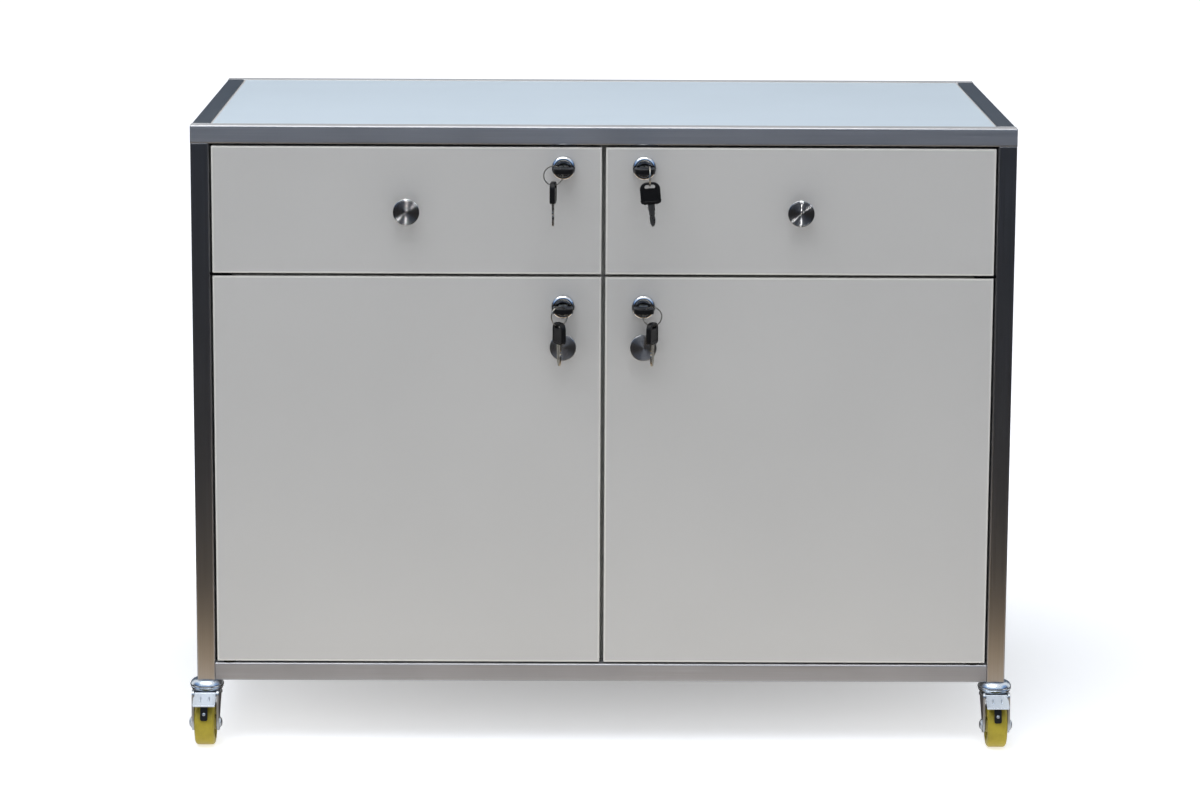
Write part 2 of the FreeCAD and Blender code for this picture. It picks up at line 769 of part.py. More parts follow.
strikes = []
for kind, (lock_z, ceiling) in LOCK_ROWS.items():
    for side, sign in SIDES.items():
        tag = f"{kind}_{side}"
        node(f"lock_body_{tag}", *lock_body(f"lock_{tag}", side, lock_z))
        lock_key = place(key(f"key_{tag}"), out(side, "lock_in"), f"-{KEY_END}", lock_z, TO_FRONT)
        node(f"lock_barrel_{tag}", barrel(f"barrel_{tag}", side, lock_z), lock_key)

        if tag in END_RING_TURNS:
            swing = math.radians(END_RING_TURNS[tag])
            outwards = f"end_ring_reach_{kind} * {math.sin(swing)}"
            forwards = f"end_ring_reach_{kind} * {math.cos(swing)}"
            hang_x = out(side, f"lock_in + end_ring_shift_{kind} + {outwards}")
            hang_y = f"{END_WEB_MIDDLE} - {KEY_END} - {forwards}"
            ring_z = f"{lock_z} - end_ring_drop_{kind}"
            ring_turn = Rotation(Vector(0, 0, 1), Vector(math.cos(swing), sign * math.sin(swing), 0))
        else:
            hang_x = out(side, f"lock_in + side_ring_out_{kind}")
            hang_y = f"slot_from_end - {KEY_END}"
            ring_z = f"{lock_z} - side_ring_drop_{kind}"
            ring_turn = ABOUT_Y
        ring = place(split_ring(f"ring_{tag}"), hang_x, hang_y, ring_z, ring_turn)
        spare_z = f"{ring_z} - ring_radius - key_hang + slot_from_end"
        facing, leaning = KEY_TURNS[tag]
        spare_turn = Rotation(Vector(0, 0, 1), facing) * Rotation(Vector(0, 1, 0), leaning)
        spare = place(key(f"spare_{tag}"), hang_x, hang_y, spare_z, spare_turn)
        node(f"spare_key_{tag}", ring, spare)

        strike_x = f"{out(side, 'lock_in')} - strike_width / 2"
        strike_low = f"({lock_z} + nut_radius + strike_over_nut)"
        leg = box(
            f"strike_leg_{tag}",
            ("strike_width", "strike_thick", f"{ceiling} - {strike_low}"),
            (strike_x, "board + strike_gap", strike_low),
        )
        foot = box(
            f"strike_foot_{tag}",
            ("strike_width", "strike_thick + strike_foot", "strike_thick"),
            (strike_x, "board + strike_gap", f"{ceiling} - strike_thick"),
        )
        strikes.append(fuse(f"strike_{tag}", leg, foot))
node("lock_strikes", *strikes)


# Castors

CROWN_UNDER = f"({CROWN_TOP} - crown_thick)"
RIVET_TOP = f"({CROWN_UNDER} - race_play)"
HEAD_UNDER = "(castor_height - head_height)"
FORK_WIDTH = "(fork_inside + 2 * fork_steel)"
FORK_FRONT = "(pedal_pivot_forward + fork_ear)"
# A run from the swivel's axis that passes every edge of the fork
PAST_FORK = "(2 * (trail + fork_eye))"
CASTOR_X = "(width - tube) / 2"
CASTOR_ROWS = {"front": "tube / 2", "rear": "depth - tube / 2"}


def castor_head(name):
    """Turn the fixed head of a castor: stem, bulging ball race, kingpin and the rivet that holds the fork."""
    widest = f"{HEAD_UNDER} + race_rise"
    return turned(name, (
        ("0", f"{RIVET_TOP} - rivet_thick"),
        ("rivet_radius", f"{RIVET_TOP} - rivet_thick"),
        ("rivet_radius", RIVET_TOP),
        ("kingpin_radius", RIVET_TOP),
        ("kingpin_radius", HEAD_UNDER),
        ("head_foot", HEAD_UNDER),
        ("head_radius", widest),
        ("head_radius", f"{widest} + race_band"),
        ("head_neck", "castor_height"),
        ("kingpin_radius", "castor_height"),
        ("kingpin_radius", "castor_height + stem_length"),
        ("0", "castor_height + stem_length"),
    ))


def fork(name, x, y, with_pedal):
    """Add the pressed fork with its round crown and holes, and with ears that take a pedal's pin."""
    body = doc.addObject("PartDesign::Body", f"{name}_legs")
    ears = (
        ("fork_ear - pedal_pivot_forward", CROWN_TOP),
        ("fork_ear - pedal_pivot_forward", "pedal_pivot_height + fork_ear"),
        (f"-{FORK_FRONT}", "pedal_pivot_height + fork_ear"),
    )
    side_view = outline(body, f"{name}_side", "YZ_Plane", (
        ("fork_back", CROWN_TOP),
        *(ears if with_pedal else ((f"-{FORK_FRONT}", CROWN_TOP),)),
        (f"-{FORK_FRONT}", "fork_brow"),
        ("-trail - fork_eye", "wheel_radius"),
        ("-trail - fork_eye", "wheel_radius - fork_eye"),
        ("fork_eye - trail", "wheel_radius - fork_eye"),
        ("fork_eye - trail", "wheel_radius"),
        ("fork_back", "fork_brow"),
    ))
    pad(body, f"{name}_pressed", side_view, FORK_WIDTH)
    eye_low = value("wheel_radius") - value("fork_eye")

    def under_eye(edge):
        level = all(abs(vertex.Z - eye_low) < 1e-4 for vertex in edge.Vertexes)
        return level and abs(edge.tangentAt(edge.FirstParameter).x) > 0.9

    round_edges(body, f"{name}_eyes", "fork_eye - fork_eye_flat", under_eye)
    throat = outline(body, f"{name}_throat", "XZ_Plane", (
        ("-fork_inside / 2", "0"),
        ("fork_inside / 2", "0"),
        ("fork_inside / 2", CROWN_UNDER),
        ("-fork_inside / 2", CROWN_UNDER),
    ))
    pocket(body, f"{name}_opened", throat, f"2 * {PAST_FORK}")
    brow = outline(body, f"{name}_brow", "YZ_Plane", (
        (f"-{PAST_FORK}", "fork_brow"),
        ("-fork_bridge", "fork_brow"),
        ("-fork_bridge", "castor_height"),
        (f"-{PAST_FORK}", "castor_height"),
    ))
    pocket(body, f"{name}_brow_opened", brow, "fork_inside")
    place(body, x, y, "0")
    crown = rod(f"{name}_crown", "crown_radius", "crown_thick", (x, y, CROWN_UNDER))
    holes = [rod(f"{name}_king_hole", "kingpin_radius + fit_clearance", "crown_thick", (x, y, CROWN_UNDER))]
    cross_x = f"{x} - {FORK_WIDTH} / 2"
    axle_start = (cross_x, f"{y} - trail", "wheel_radius")
    holes.append(rod(f"{name}_axle_hole", "axle_radius + fit_clearance", FORK_WIDTH, axle_start, ALONG_X))
    if with_pedal:
        pin_start = (cross_x, f"{y} - pedal_pivot_forward", "pedal_pivot_height")
        holes.append(rod(f"{name}_pedal_hole", "pedal_pin + fit_clearance", FORK_WIDTH, pin_start, ALONG_X))
    return cut(name, fuse(f"{name}_pressing", body, crown), *holes)


def axle(name, x, y):
    """Turn the axle bolt with a domed nut at each end."""
    inner = f"{FORK_WIDTH} / 2"
    outer = f"{inner} + axle_nut_length"
    body = turned(name, (
        ("0", f"-({outer})"),
        ("axle_nut_radius - axle_nut_dome", f"-({outer})"),
        ("axle_nut_radius", f"axle_nut_dome - ({outer})"),
        ("axle_nut_radius", f"-({inner})"),
        ("axle_radius", f"-({inner})"),
        ("axle_radius", inner),
        ("axle_nut_radius", inner),
        ("axle_nut_radius", f"{outer} - axle_nut_dome"),
        ("axle_nut_radius - axle_nut_dome", outer),
        ("0", outer),
    ))
    return place(body, x, f"{y} - trail", "wheel_radius", ALONG_X)


def wheel(name, x, y):
    """Turn the tyre, and the hub that carries it."""
    edge = "wheel_width / 2"
    shoulder = f"{edge} - 2 * wheel_crown"
    tyre = turned(f"{name}_tyre", (
        ("hub_radius", f"-{edge}"),
        ("wheel_radius - wheel_crown", f"-{edge}"),
        ("wheel_radius", f"-({shoulder})"),
        ("wheel_radius", shoulder),
        ("wheel_radius - wheel_crown", edge),
        ("hub_radius", edge),
    ))
    bore = "axle_radius + fit_clearance"
    hub = turned(f"{name}_hub", (
        (bore, "-boss_width / 2"),
        ("boss_radius", "-boss_width / 2"),
        ("boss_radius", "-hub_width / 2"),
        ("hub_radius", "-hub_width / 2"),
        ("hub_radius", "hub_width / 2"),
        ("boss_radius", "hub_width / 2"),
        ("boss_radius", "boss_width / 2"),
        (bore, "boss_width / 2"),
    ))
    return [place(part, x, f"{y} - trail", "wheel_radius", ALONG_X) for part in (tyre, hub)]


def pedal(name, x, y):
    """Add a brake pedal: rolled knuckle with its pin, sloping plate with a wider tread, and the shoe."""
    body = doc.addObject("PartDesign::Body", name)
    pivot = ("-pedal_pivot_forward", "pedal_pivot_height")
    plate_top = "pedal_pivot_height + pedal_knuckle"
    slope = f"(({plate_top} - pedal_lip_height - pedal_steel) / (pedal_lip_forward - pedal_pivot_forward))"
    flare_top = f"{plate_top} - {slope} * (pedal_flare_forward - pedal_pivot_forward)"
    # The shoe's face meets the middle of the plate's thickness at this height
    level_face = "trail + (wheel_radius + shoe_play) / cos(shoe_angle) + wheel_radius * tan(shoe_angle)"
    level_plate = f"{plate_top} - pedal_steel / 2 - {slope} * ({level_face} - pedal_pivot_forward)"
    shoe_top = f"({level_plate}) / (1 - {slope} * tan(shoe_angle))"

    def plate_outline(part, rear, rear_top):
        return outline(body, f"{name}_{part}_outline", "YZ_Plane", (
            (f"-{rear}", rear_top),
            ("-pedal_lip_forward", "pedal_lip_height + pedal_steel"),
            ("-pedal_lip_forward", "pedal_lip_height"),
            (f"-{rear}", f"{rear_top} - pedal_steel"),
        ))

    def shoe_y(height):
        face = f"wheel_radius + shoe_play - ({height} - wheel_radius) * sin(shoe_angle)"
        return f"-trail - ({face}) / cos(shoe_angle)"

    pad(body, f"{name}_plate", plate_outline("plate", "pedal_pivot_forward", plate_top), "pedal_width")
    pad(body, f"{name}_tread", plate_outline("tread", "pedal_flare_forward", flare_top), "pedal_flare")
    for part, width in (("knuckle", "pedal_width"), ("pin", FORK_WIDTH)):
        circle = ring_outline(body, f"{name}_{part}_circle", "YZ_Plane", pivot, f"pedal_{part}")
        pad(body, f"{name}_{part}", circle, width)
    shoe = outline(body, f"{name}_shoe_outline", "YZ_Plane", (
        (shoe_y("shoe_bottom"), "shoe_bottom"),
        (shoe_y(shoe_top), shoe_top),
        (f"{shoe_y(shoe_top)} - shoe_thick", shoe_top),
        (f"{shoe_y('shoe_bottom')} - shoe_thick", "shoe_bottom"),
    ))
    pad(body, f"{name}_shoe", shoe, "shoe_width")
    return place(body, x, y, "0")


heads = []
inserts = []
for row_name, row_y in CASTOR_ROWS.items():
    for side in SIDES:
        tag = f"{row_name}_{side}"
        x = out(side, CASTOR_X)
        heads.append(place(castor_head(f"head_{tag}"), x, row_y, "0"))
        plug_width = "(tube - 2 * tube_wall - 2 * fit_clearance)"
        plug_low = (f"{x} - {plug_width} / 2", f"{row_y} - {plug_width} / 2", "castor_height")
        plug = box(f"plug_{tag}", (plug_width, plug_width, "insert_height"), plug_low)
        stem_radius = "kingpin_radius + fit_clearance"
        stem_hole = rod(f"stem_hole_{tag}", stem_radius, "stem_length", (x, row_y, "castor_height"))
        inserts.append(cut(f"insert_{tag}", plug, stem_hole))
        has_brake = row_name == "front"
        node(f"castor_fork_{tag}", fork(f"fork_{tag}", x, row_y, has_brake), axle(f"axle_{tag}", x, row_y))
        node(f"castor_wheel_{tag}", *wheel(f"wheel_{tag}", x, row_y))
        if has_brake:
            node(f"brake_pedal_{tag}", pedal(f"pedal_{tag}", x, row_y))
node("castor_heads", *heads)
node("castor_inserts", *inserts)


# Checks and files

doc.recompute()
for thing in doc.Objects:
    if {"Invalid", "Error"} & set(thing.State):
        raise RuntimeError(f"{thing.Name} failed: {thing.State}")
for thing in nodes:
    if thing.Shape.isNull() or not thing.Shape.isValid() or not thing.Shape.Solids:
        raise RuntimeError(f"{thing.Label} has no valid solid")
os.makedirs("parts", exist_ok=True)
for thing in nodes:
    thing.Shape.exportStep(f"parts/{thing.Label}.step")
print(len(nodes), "nodes,", sum(len(thing.Shape.Solids) for thing in nodes), "solids")
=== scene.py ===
import json
import math

import bmesh
import bpy
from mathutils import Matrix, Vector


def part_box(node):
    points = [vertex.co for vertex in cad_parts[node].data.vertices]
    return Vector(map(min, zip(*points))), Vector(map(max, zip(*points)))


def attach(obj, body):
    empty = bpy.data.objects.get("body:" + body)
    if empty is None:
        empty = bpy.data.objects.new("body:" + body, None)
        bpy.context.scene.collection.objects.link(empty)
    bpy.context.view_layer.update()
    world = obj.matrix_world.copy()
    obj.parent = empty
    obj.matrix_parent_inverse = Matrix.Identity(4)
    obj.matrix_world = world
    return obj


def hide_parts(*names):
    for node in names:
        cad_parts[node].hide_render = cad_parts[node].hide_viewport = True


bl_info = {
    "name": "Mobile Medical Cabinet",
    "version": (1, 0, 0),
    "blender": (4, 5, 0),
    "location": "3D View > Sidebar > Cabinet",
    "description": "Dresses a wheeled cabinet with finished tubes, boards, locks and castors",
    "category": "Object",
}

# Places read from the frame
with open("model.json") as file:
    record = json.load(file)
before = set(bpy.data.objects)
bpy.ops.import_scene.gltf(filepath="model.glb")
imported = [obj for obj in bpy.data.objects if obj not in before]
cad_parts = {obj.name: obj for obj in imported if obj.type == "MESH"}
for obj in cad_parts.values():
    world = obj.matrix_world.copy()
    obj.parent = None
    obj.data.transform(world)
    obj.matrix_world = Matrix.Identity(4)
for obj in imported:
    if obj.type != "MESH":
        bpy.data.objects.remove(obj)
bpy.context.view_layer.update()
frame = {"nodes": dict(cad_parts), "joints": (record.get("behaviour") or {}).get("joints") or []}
JOINTS = {joint["name"]: joint for joint in frame["joints"]}
RAIL_LOW, RAIL_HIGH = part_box("top_rail_front")
TUBE = RAIL_HIGH.z - RAIL_LOW.z
FRONT_Y = RAIL_LOW.y

SIDES = {"left": -1, "right": 1}
LOCKS = ("drawer_left", "drawer_right", "door_left", "door_right")
CASTORS = ("front_left", "front_right", "rear_left", "rear_right")
BRAKED = ("front_left", "front_right")
# How far each spare key is turned from facing the front and leans to the side, in degrees
KEY_TURNS = {
    "drawer_left": (84.0, 0.0),
    "drawer_right": (0.0, -5.2),
    "door_left": (-62.0, 0.0),
    "door_right": (66.0, 0.0),
}
# The rings that hang over a key's end, and how far each is turned outwards, in degrees
END_RING_TURNS = {"drawer_right": 0.0, "door_left": 58.0}

MM = 0.001
MERGE = 1e-7
# Faces that meet at more than this angle keep a sharp edge in the shading
CREASE = math.radians(40.0)
# Edges that are bent by more than this angle count as rims
RIM = math.radians(60.0)
GRAIN = "grain"
TO_FRONT = Matrix.Rotation(math.radians(90), 4, "X")
ALONG_X = Matrix.Rotation(math.radians(90), 4, "Y")
WHITE = (1.0, 1.0, 1.0, 1.0)


# Settings a user would change

def length(name, description, default):
    """Make a property for one length in metres."""
    return bpy.props.FloatProperty(
        name=name, description=description, default=default, min=0.0, unit="LENGTH"
    )


def colour(name, description, default):
    """Make a property for one colour."""
    return bpy.props.FloatVectorProperty(
        name=name, description=description, default=default,
        size=3, min=0.0, max=1.0, subtype="COLOR",
    )


def degrees(name, description, default):
    """Make a property for one angle, given in degrees."""
    return bpy.props.FloatProperty(
        name=name, description=description, default=math.radians(default), subtype="ANGLE"
    )


class CabinetSizes(bpy.types.PropertyGroup):
    """Lengths of the finish that the solids leave out."""

    tube_corner: length("Tube corner", "Radius of the square tube's long edges", 2.0 * MM)
    tube_seam: length("Tube seam", "Softening where one tube is welded to the next", 0.5 * MM)
    board_edge: length("Board edge", "Radius of a board's edges", 0.8 * MM)
    # Also the width of the painted edge highlight on each face
    band: length("Edge band", "Thickness of the banding glued round a board", 1.2 * MM)
    key_arch: length("Key arch", "Radius of the far corners of a key's head", 7.5 * MM)
    key_corner: length("Key corner", "Radius of the near corners of a key's head", 2.2 * MM)
    key_edge: length("Key edge", "Softening of a key head's outline", 0.9 * MM)
    press_edge: length("Pressed edge", "Softening of sheet steel edges", 0.4 * MM)


class CabinetFinishes(bpy.types.PropertyGroup):
    """Colours of the finishes."""

    steel: colour("Steel", "Brushed stainless tube", (0.50, 0.50, 0.51))
    knob: colour("Knob", "Spun steel of the knobs", (0.54, 0.54, 0.54))
    # Front: painted shade, the pale laminate greyed to its look in shade; the outer panels take it
    # too
    front: colour("Front", "Laminate of drawers and doors", (0.512, 0.507, 0.505))
    # Band: lighter partly as banding, partly as painted highlight along the board edges
    band: colour("Band", "Banding round the boards", (0.64, 0.63, 0.61))
    # Worktop: the same pale laminate, with painted sky light making it paler and bluer than the
    # front
    worktop: colour("Worktop", "Laminate of the worktop", (0.74, 0.835, 0.92))
    carcass: colour("Carcass", "Laminate of the inner boards", (0.60, 0.60, 0.58))
    drawer_box: colour("Drawer box", "Laminate of the drawer boxes", (0.68, 0.68, 0.66))
    chrome: colour("Chrome", "Plating of the locks", (0.66, 0.67, 0.69))
    nickel: colour("Nickel", "Plating of key blades and rings", (0.44, 0.42, 0.37))
    key: colour("Key", "Moulded key heads", (0.007, 0.007, 0.008))
    zinc: colour("Zinc", "Plating of castor heads, pedals and fittings", (0.60, 0.66, 0.73))
    # Forks: a duller zinc, partly rougher plating and partly painted shade that dims their
    # highlights
    dull_zinc: colour("Dull zinc", "Plating of the castor forks", (0.47, 0.50, 0.53))
    tyre: colour("Tyre", "Cast wheel tread", (0.33, 0.27, 0.026))
    hub: colour("Hub", "Moulded wheel centre", (0.30, 0.25, 0.04))
    # Brake shoe and door pivots: coloured near black
    dark: colour("Dark steel", "Blackened brake shoe", (0.030, 0.028, 0.026))
    plastic: colour("Plastic", "Catches and post inserts", (0.020, 0.020, 0.020))


class CabinetStage(bpy.types.PropertyGroup):
    """Camera and light."""

    camera_place: bpy.props.FloatVectorProperty(
        name="Camera place", description="Where the camera stands",
        default=(-0.0359, -4.4582, 1.1806), size=3, subtype="TRANSLATION", unit="LENGTH",
    )
    camera_pitch: degrees("Pitch", "How far the camera looks down", 10.551)
    camera_yaw: degrees("Yaw", "How far the camera looks right", 0.446)
    camera_roll: degrees("Roll", "How far the camera leans", -0.301)
    camera_lens: bpy.props.FloatProperty(
        name="Lens", description="Focal length on a 36 mm wide sensor",
        default=117.36, unit="CAMERA",
    )
    lamp_power: bpy.props.FloatProperty(
        name="Lamp power", description="Strength of the overhead lamp", default=60.0, unit="POWER"
    )
    sky_light: bpy.props.FloatProperty(
        name="Sky light", description="Strength of the light from all round", default=0.55, min=0.0
    )


# Materials

def fill(tree, node, inputs):
    """Fill the inputs of a node with values or links."""
    for name, source in inputs.items():
        if isinstance(source, bpy.types.NodeSocket):
            tree.links.new(source, node.inputs[name])
        else:
            node.inputs[name].default_value = source


def shade(tree, kind, inputs=None, **settings):
    """Add a shader node, set its options, and fill its inputs."""
    made = tree.nodes.new(kind)
    for name, setting in settings.items():
        setattr(made, name, setting)
    fill(tree, made, inputs or {})
    return made


def maths(tree, operation, *terms):
    """Give the result of an operation on values or links."""
    return shade(tree, "ShaderNodeMath", dict(enumerate(terms)), operation=operation).outputs[0]


def blank(name):
    """Start a material that holds only its shader."""
    made = bpy.data.materials.new(name)
    made.use_nodes = True
    return made, made.node_tree, made.node_tree.nodes["Principled BSDF"]


def object_place(tree):
    """Give the Object coordinates."""
    return shade(tree, "ShaderNodeTexCoord").outputs["Object"]


def grain_place(tree, across, along):
    """Give the coordinates of a piece's own grain map, stretched across and along it."""
    place = shade(tree, "ShaderNodeUVMap", uv_map=GRAIN).outputs["UV"]
    inputs = {"Vector": place, "Scale": (across, along, 1.0)}
    return shade(tree, "ShaderNodeMapping", inputs).outputs["Vector"]


def noise(tree, place, scale, detail=3.0, rough=0.5):
    """Give the height of a noise at a place."""
    inputs = {"Vector": place, "Scale": scale, "Detail": detail, "Roughness": rough}
    return shade(tree, "ShaderNodeTexNoise", inputs).outputs["Fac"]


def spread(tree, height, low, high, near=0.3, far=0.7):
    """Stretch a height that lies between near and far over the values low to high."""
    inputs = {"Value": height, "From Min": near, "From Max": far, "To Min": low, "To Max": high}
    return shade(tree, "ShaderNodeMapRange", inputs).outputs["Result"]


def tones(tree, height, tint, dark, light, near=0.3, far=0.7):
    """Turn a height into a colour between a darker and a lighter tone of a tint."""
    ramp = shade(tree, "ShaderNodeValToRGB", {"Fac": height})
    for element, place, tone in zip(ramp.color_ramp.elements, (near, far), (dark, light)):
        element.position = place
        element.color = (*[min(1.0, channel * tone) for channel in tint], 1.0)
    return ramp.outputs["Color"]


def relief(tree, height, strength, distance):
    """Give the normals of a height that is raised as bump."""
    inputs = {"Height": height, "Strength": strength, "Distance": distance}
    return shade(tree, "ShaderNodeBump", inputs).outputs["Normal"]


def brushed(name, tint, across, along, roughness, stretch):
    """Make brushed metal, whose scratches follow the grain map and widen its reflections."""
    made, tree, shader = blank(name)
    lines = noise(tree, grain_place(tree, across, along), scale=1.0, detail=4.0, rough=0.6)
    clouds = noise(tree, object_place(tree), scale=9.0)
    mixed = maths(tree, "MULTIPLY_ADD", lines, clouds, 0.2)
    tangent = shade(tree, "ShaderNodeTangent", direction_type="UV_MAP", uv_map=GRAIN)
    fill(tree, shader, {
        "Base Color": tones(tree, mixed, tint, dark=0.82, light=1.12, near=0.25, far=0.75),
        "Roughness": spread(tree, lines, low=roughness * 0.85, high=roughness * 1.2),
        "Normal": relief(tree, lines, strength=0.06, distance=0.05 * MM),
        "Metallic": 1.0,
        "Anisotropic": stretch,
        "Tangent": tangent.outputs["Tangent"],
    })
    return made


def laminate(name, tint, roughness, shine=0.5):
    """Make a faced board: a fine pearl in the sheet and faint clouding."""
    made, tree, shader = blank(name)
    place = object_place(tree)
    clouds = noise(tree, place, scale=5.0, detail=2.0)
    pearl = noise(tree, place, scale=1400.0, detail=2.0)
    mixed = maths(tree, "MULTIPLY", maths(tree, "ADD", clouds, pearl), 0.5)
    fill(tree, shader, {
        "Base Color": tones(tree, mixed, tint, dark=0.97, light=1.03),
        "Roughness": spread(tree, pearl, low=roughness - 0.05, high=roughness + 0.05),
        "Normal": relief(tree, pearl, strength=0.08, distance=0.05 * MM),
        "Specular IOR Level": shine,
    })
    return made


def plated(name, tint, roughness, flake):
    """Make plated metal with faint spangles and handling marks."""
    made, tree, shader = blank(name)
    place = object_place(tree)
    spangle = shade(tree, "ShaderNodeTexVoronoi", {"Vector": place, "Scale": flake})
    grey = shade(tree, "ShaderNodeRGBToBW", {"Color": spangle.outputs["Color"]}).outputs["Val"]
    marks = noise(tree, place, scale=flake * 0.35)
    fill(tree, shader, {
        "Base Color": tones(tree, grey, tint, dark=0.98, light=1.02, near=0.0, far=1.0),
        "Roughness": spread(tree, marks, low=roughness * 0.95, high=roughness * 1.08),
        "Normal": relief(tree, marks, strength=0.02, distance=0.1 * MM),
        "Metallic": 1.0,
    })
    return made


def moulded(name, tint, roughness, scale, shine=0.5):
    """Make a moulded plastic or cast tyre with a fine skin and faint wear."""
    made, tree, shader = blank(name)
    place = object_place(tree)
    skin = noise(tree, place, scale=scale * 6.0)
    wear = noise(tree, place, scale=scale, detail=4.0, rough=0.6)
    fill(tree, shader, {
        "Base Color": tones(tree, wear, tint, dark=0.82, light=1.15),
        "Roughness": spread(tree, skin, low=roughness - 0.08, high=roughness + 0.08),
        "Normal": relief(tree, skin, strength=0.1, distance=0.08 * MM),
        "Specular IOR Level": shine,
    })
    return made


# How each finish is made, which of the colours it takes, and its settings
FINISHES = {
    "brushed_tube": (
        brushed, "steel", {"across": 1600.0, "along": 6.0, "roughness": 0.36, "stretch": 0.8},
    ),
    "spun_knob": (
        brushed, "knob", {"across": 2600.0, "along": 0.4, "roughness": 0.30, "stretch": 0.9},
    ),
    "polished_knob": (
        brushed, "knob", {"across": 2600.0, "along": 0.4, "roughness": 0.18, "stretch": 1.0},
    ),
    # The front and worktop finishes are shaded and lit copies of one laminate: painted shade and
    # painted sky light
    "front_board": (laminate, "front", {"roughness": 0.5}),
    # The band's finish holds the banding and a painted highlight along the edges
    "edge_band": (laminate, "band", {"roughness": 0.42}),
    "worktop_sheet": (laminate, "worktop", {"roughness": 0.34, "shine": 0.25}),
    "inner_board": (laminate, "carcass", {"roughness": 0.5}),
    "drawer_board": (laminate, "drawer_box", {"roughness": 0.5}),
    "polished_chrome": (plated, "chrome", {"roughness": 0.10, "flake": 300.0}),
    "key_nickel": (plated, "nickel", {"roughness": 0.28, "flake": 900.0}),
    "bright_zinc": (plated, "zinc", {"roughness": 0.26, "flake": 30.0}),
    # The forks' zinc is darker partly as painted shade
    "dull_zinc": (plated, "dull_zinc", {"roughness": 0.32, "flake": 60.0}),
    "blackened_steel": (plated, "dark", {"roughness": 0.4, "flake": 500.0}),
    "key_moulding": (moulded, "key", {"roughness": 0.4, "scale": 220.0, "shine": 0.2}),
    "wheel_tread": (moulded, "tyre", {"roughness": 0.42, "scale": 60.0, "shine": 0.25}),
    "wheel_hub": (moulded, "hub", {"roughness": 0.45, "scale": 90.0}),
    "black_moulding": (moulded, "plastic", {"roughness": 0.5, "scale": 150.0}),
}


def finish(name):
    """Get one of the cabinet's finishes, made on its first use."""
    if name in bpy.data.materials:
        return bpy.data.materials[name]
    make, tint, settings = FINISHES[name]
    return make(name, getattr(bpy.context.scene.cabinet_finishes, tint), **settings)


# Mesh tools

def arc(centre, radius, start, end, steps):
    """List the points of an arc from one angle to another, in degrees."""
    points = []
    for step in range(steps + 1):
        angle = math.radians(start + (end - start) * step / steps)
        points.append((centre[0] + radius * math.cos(angle), centre[1] + radius * math.sin(angle)))
    return points


def block(low, high):
    """Start a mesh as a plain box between two corners."""
    part = bmesh.new()
    low, high = Vector(low), Vector(high)
    bmesh.ops.create_cube(part, size=1.0)
    bmesh.ops.scale(part, vec=high - low, verts=part.verts)
    bmesh.ops.translate(part, vec=(low + high) / 2, verts=part.verts)
    part.normal_update()
    return part


def drawn_out(outline, reach):
    """Start a mesh as a flat outline of points, drawn out along a vector."""
    part = bmesh.new()
    face = part.faces.new([part.verts.new(point) for point in outline])
    made = bmesh.ops.extrude_face_region(part, geom=[face], use_keep_orig=True)
    moved = [item for item in made["geom"] if isinstance(item, bmesh.types.BMVert)]
    bmesh.ops.translate(part, vec=reach, verts=moved)
    bmesh.ops.recalc_face_normals(part, faces=part.faces)
    part.normal_update()
    return part


def hex_nut(radius, thick, height, edge):
    """Start a mesh as a nut round Z with softened edges, its middle at a height."""
    part = bmesh.new()
    bmesh.ops.create_cone(
        part, cap_ends=True, segments=6, radius1=radius, radius2=radius, depth=thick,
        matrix=Matrix.Translation((0.0, 0.0, height)),
    )
    soften(part, part.edges, edge, 2)
    return part


def mirrored(half):
    """Complete a profile of (radius, height) points with the same points below zero height."""
    return [*half, *[(radius, -height) for radius, height in reversed(half)]]


def rims_of(part):
    """List the edges at which a mesh is bent sharply."""
    return [edge for edge in part.edges if edge.calc_face_angle(0.0) > RIM]


def soften(part, edges, offset, segments):
    """Round chosen edges."""
    bmesh.ops.bevel(
        part, geom=list(edges), offset=offset, offset_type="OFFSET", segments=segments, profile=0.5,
        affect="EDGES", material=-1, clamp_overlap=True,
    )
    part.normal_update()


def runs_along(edge, axis):
    """Tell whether an edge runs along one of the axes."""
    return abs((edge.verts[1].co - edge.verts[0].co).normalized()[axis]) > 0.99


def edges_along(part, axis):
    """List the edges of a mesh that run along one of the axes."""
    return [edge for edge in part.edges if runs_along(edge, axis)]


def turned(profile, steps, closed=False):
    """Spin a profile of (radius, height) points round Z, its grain map across the tool marks."""
    part = bmesh.new()
    run = part.verts.layers.float.new("run")
    verts = [part.verts.new((radius, 0.0, height)) for radius, height in profile]
    distance = 0.0
    for before, vert in zip(verts, verts[1:]):
        distance += (vert.co - before.co).length
        vert[run] = distance
    pairs = list(zip(verts, verts[1:])) + ([(verts[-1], verts[0])] if closed else [])
    edges = [part.edges.new(pair) for pair in pairs]
    bmesh.ops.spin(
        part, geom=verts + edges, cent=(0, 0, 0), axis=(0, 0, 1), dvec=(0, 0, 0),
        angle=math.tau, steps=steps, use_merge=True, use_normal_flip=False, use_duplicate=False,
    )
    layer = part.loops.layers.uv.new(GRAIN)
    for face in part.faces:
        middle = face.calc_center_median()
        heading = math.atan2(middle.y, middle.x)
        for loop in face.loops:
            at = loop.vert.co
            on_axis = math.hypot(at.x, at.y) < MERGE
            swing = 0.0 if on_axis else math.remainder(math.atan2(at.y, at.x) - heading, math.tau)
            loop[layer].uv = (loop.vert[run], heading + swing)
    part.verts.layers.float.remove(part.verts.layers.float["run"])
    bmesh.ops.remove_doubles(part, verts=part.verts, dist=MERGE)
    bmesh.ops.recalc_face_normals(part, faces=part.faces)
    return part


def rod(radius, half, steps):
    """Turn a plain rod that reaches as far below zero height as above it."""
    return turned(((0.0, -half), (radius, -half), (radius, half), (0.0, half)), steps)


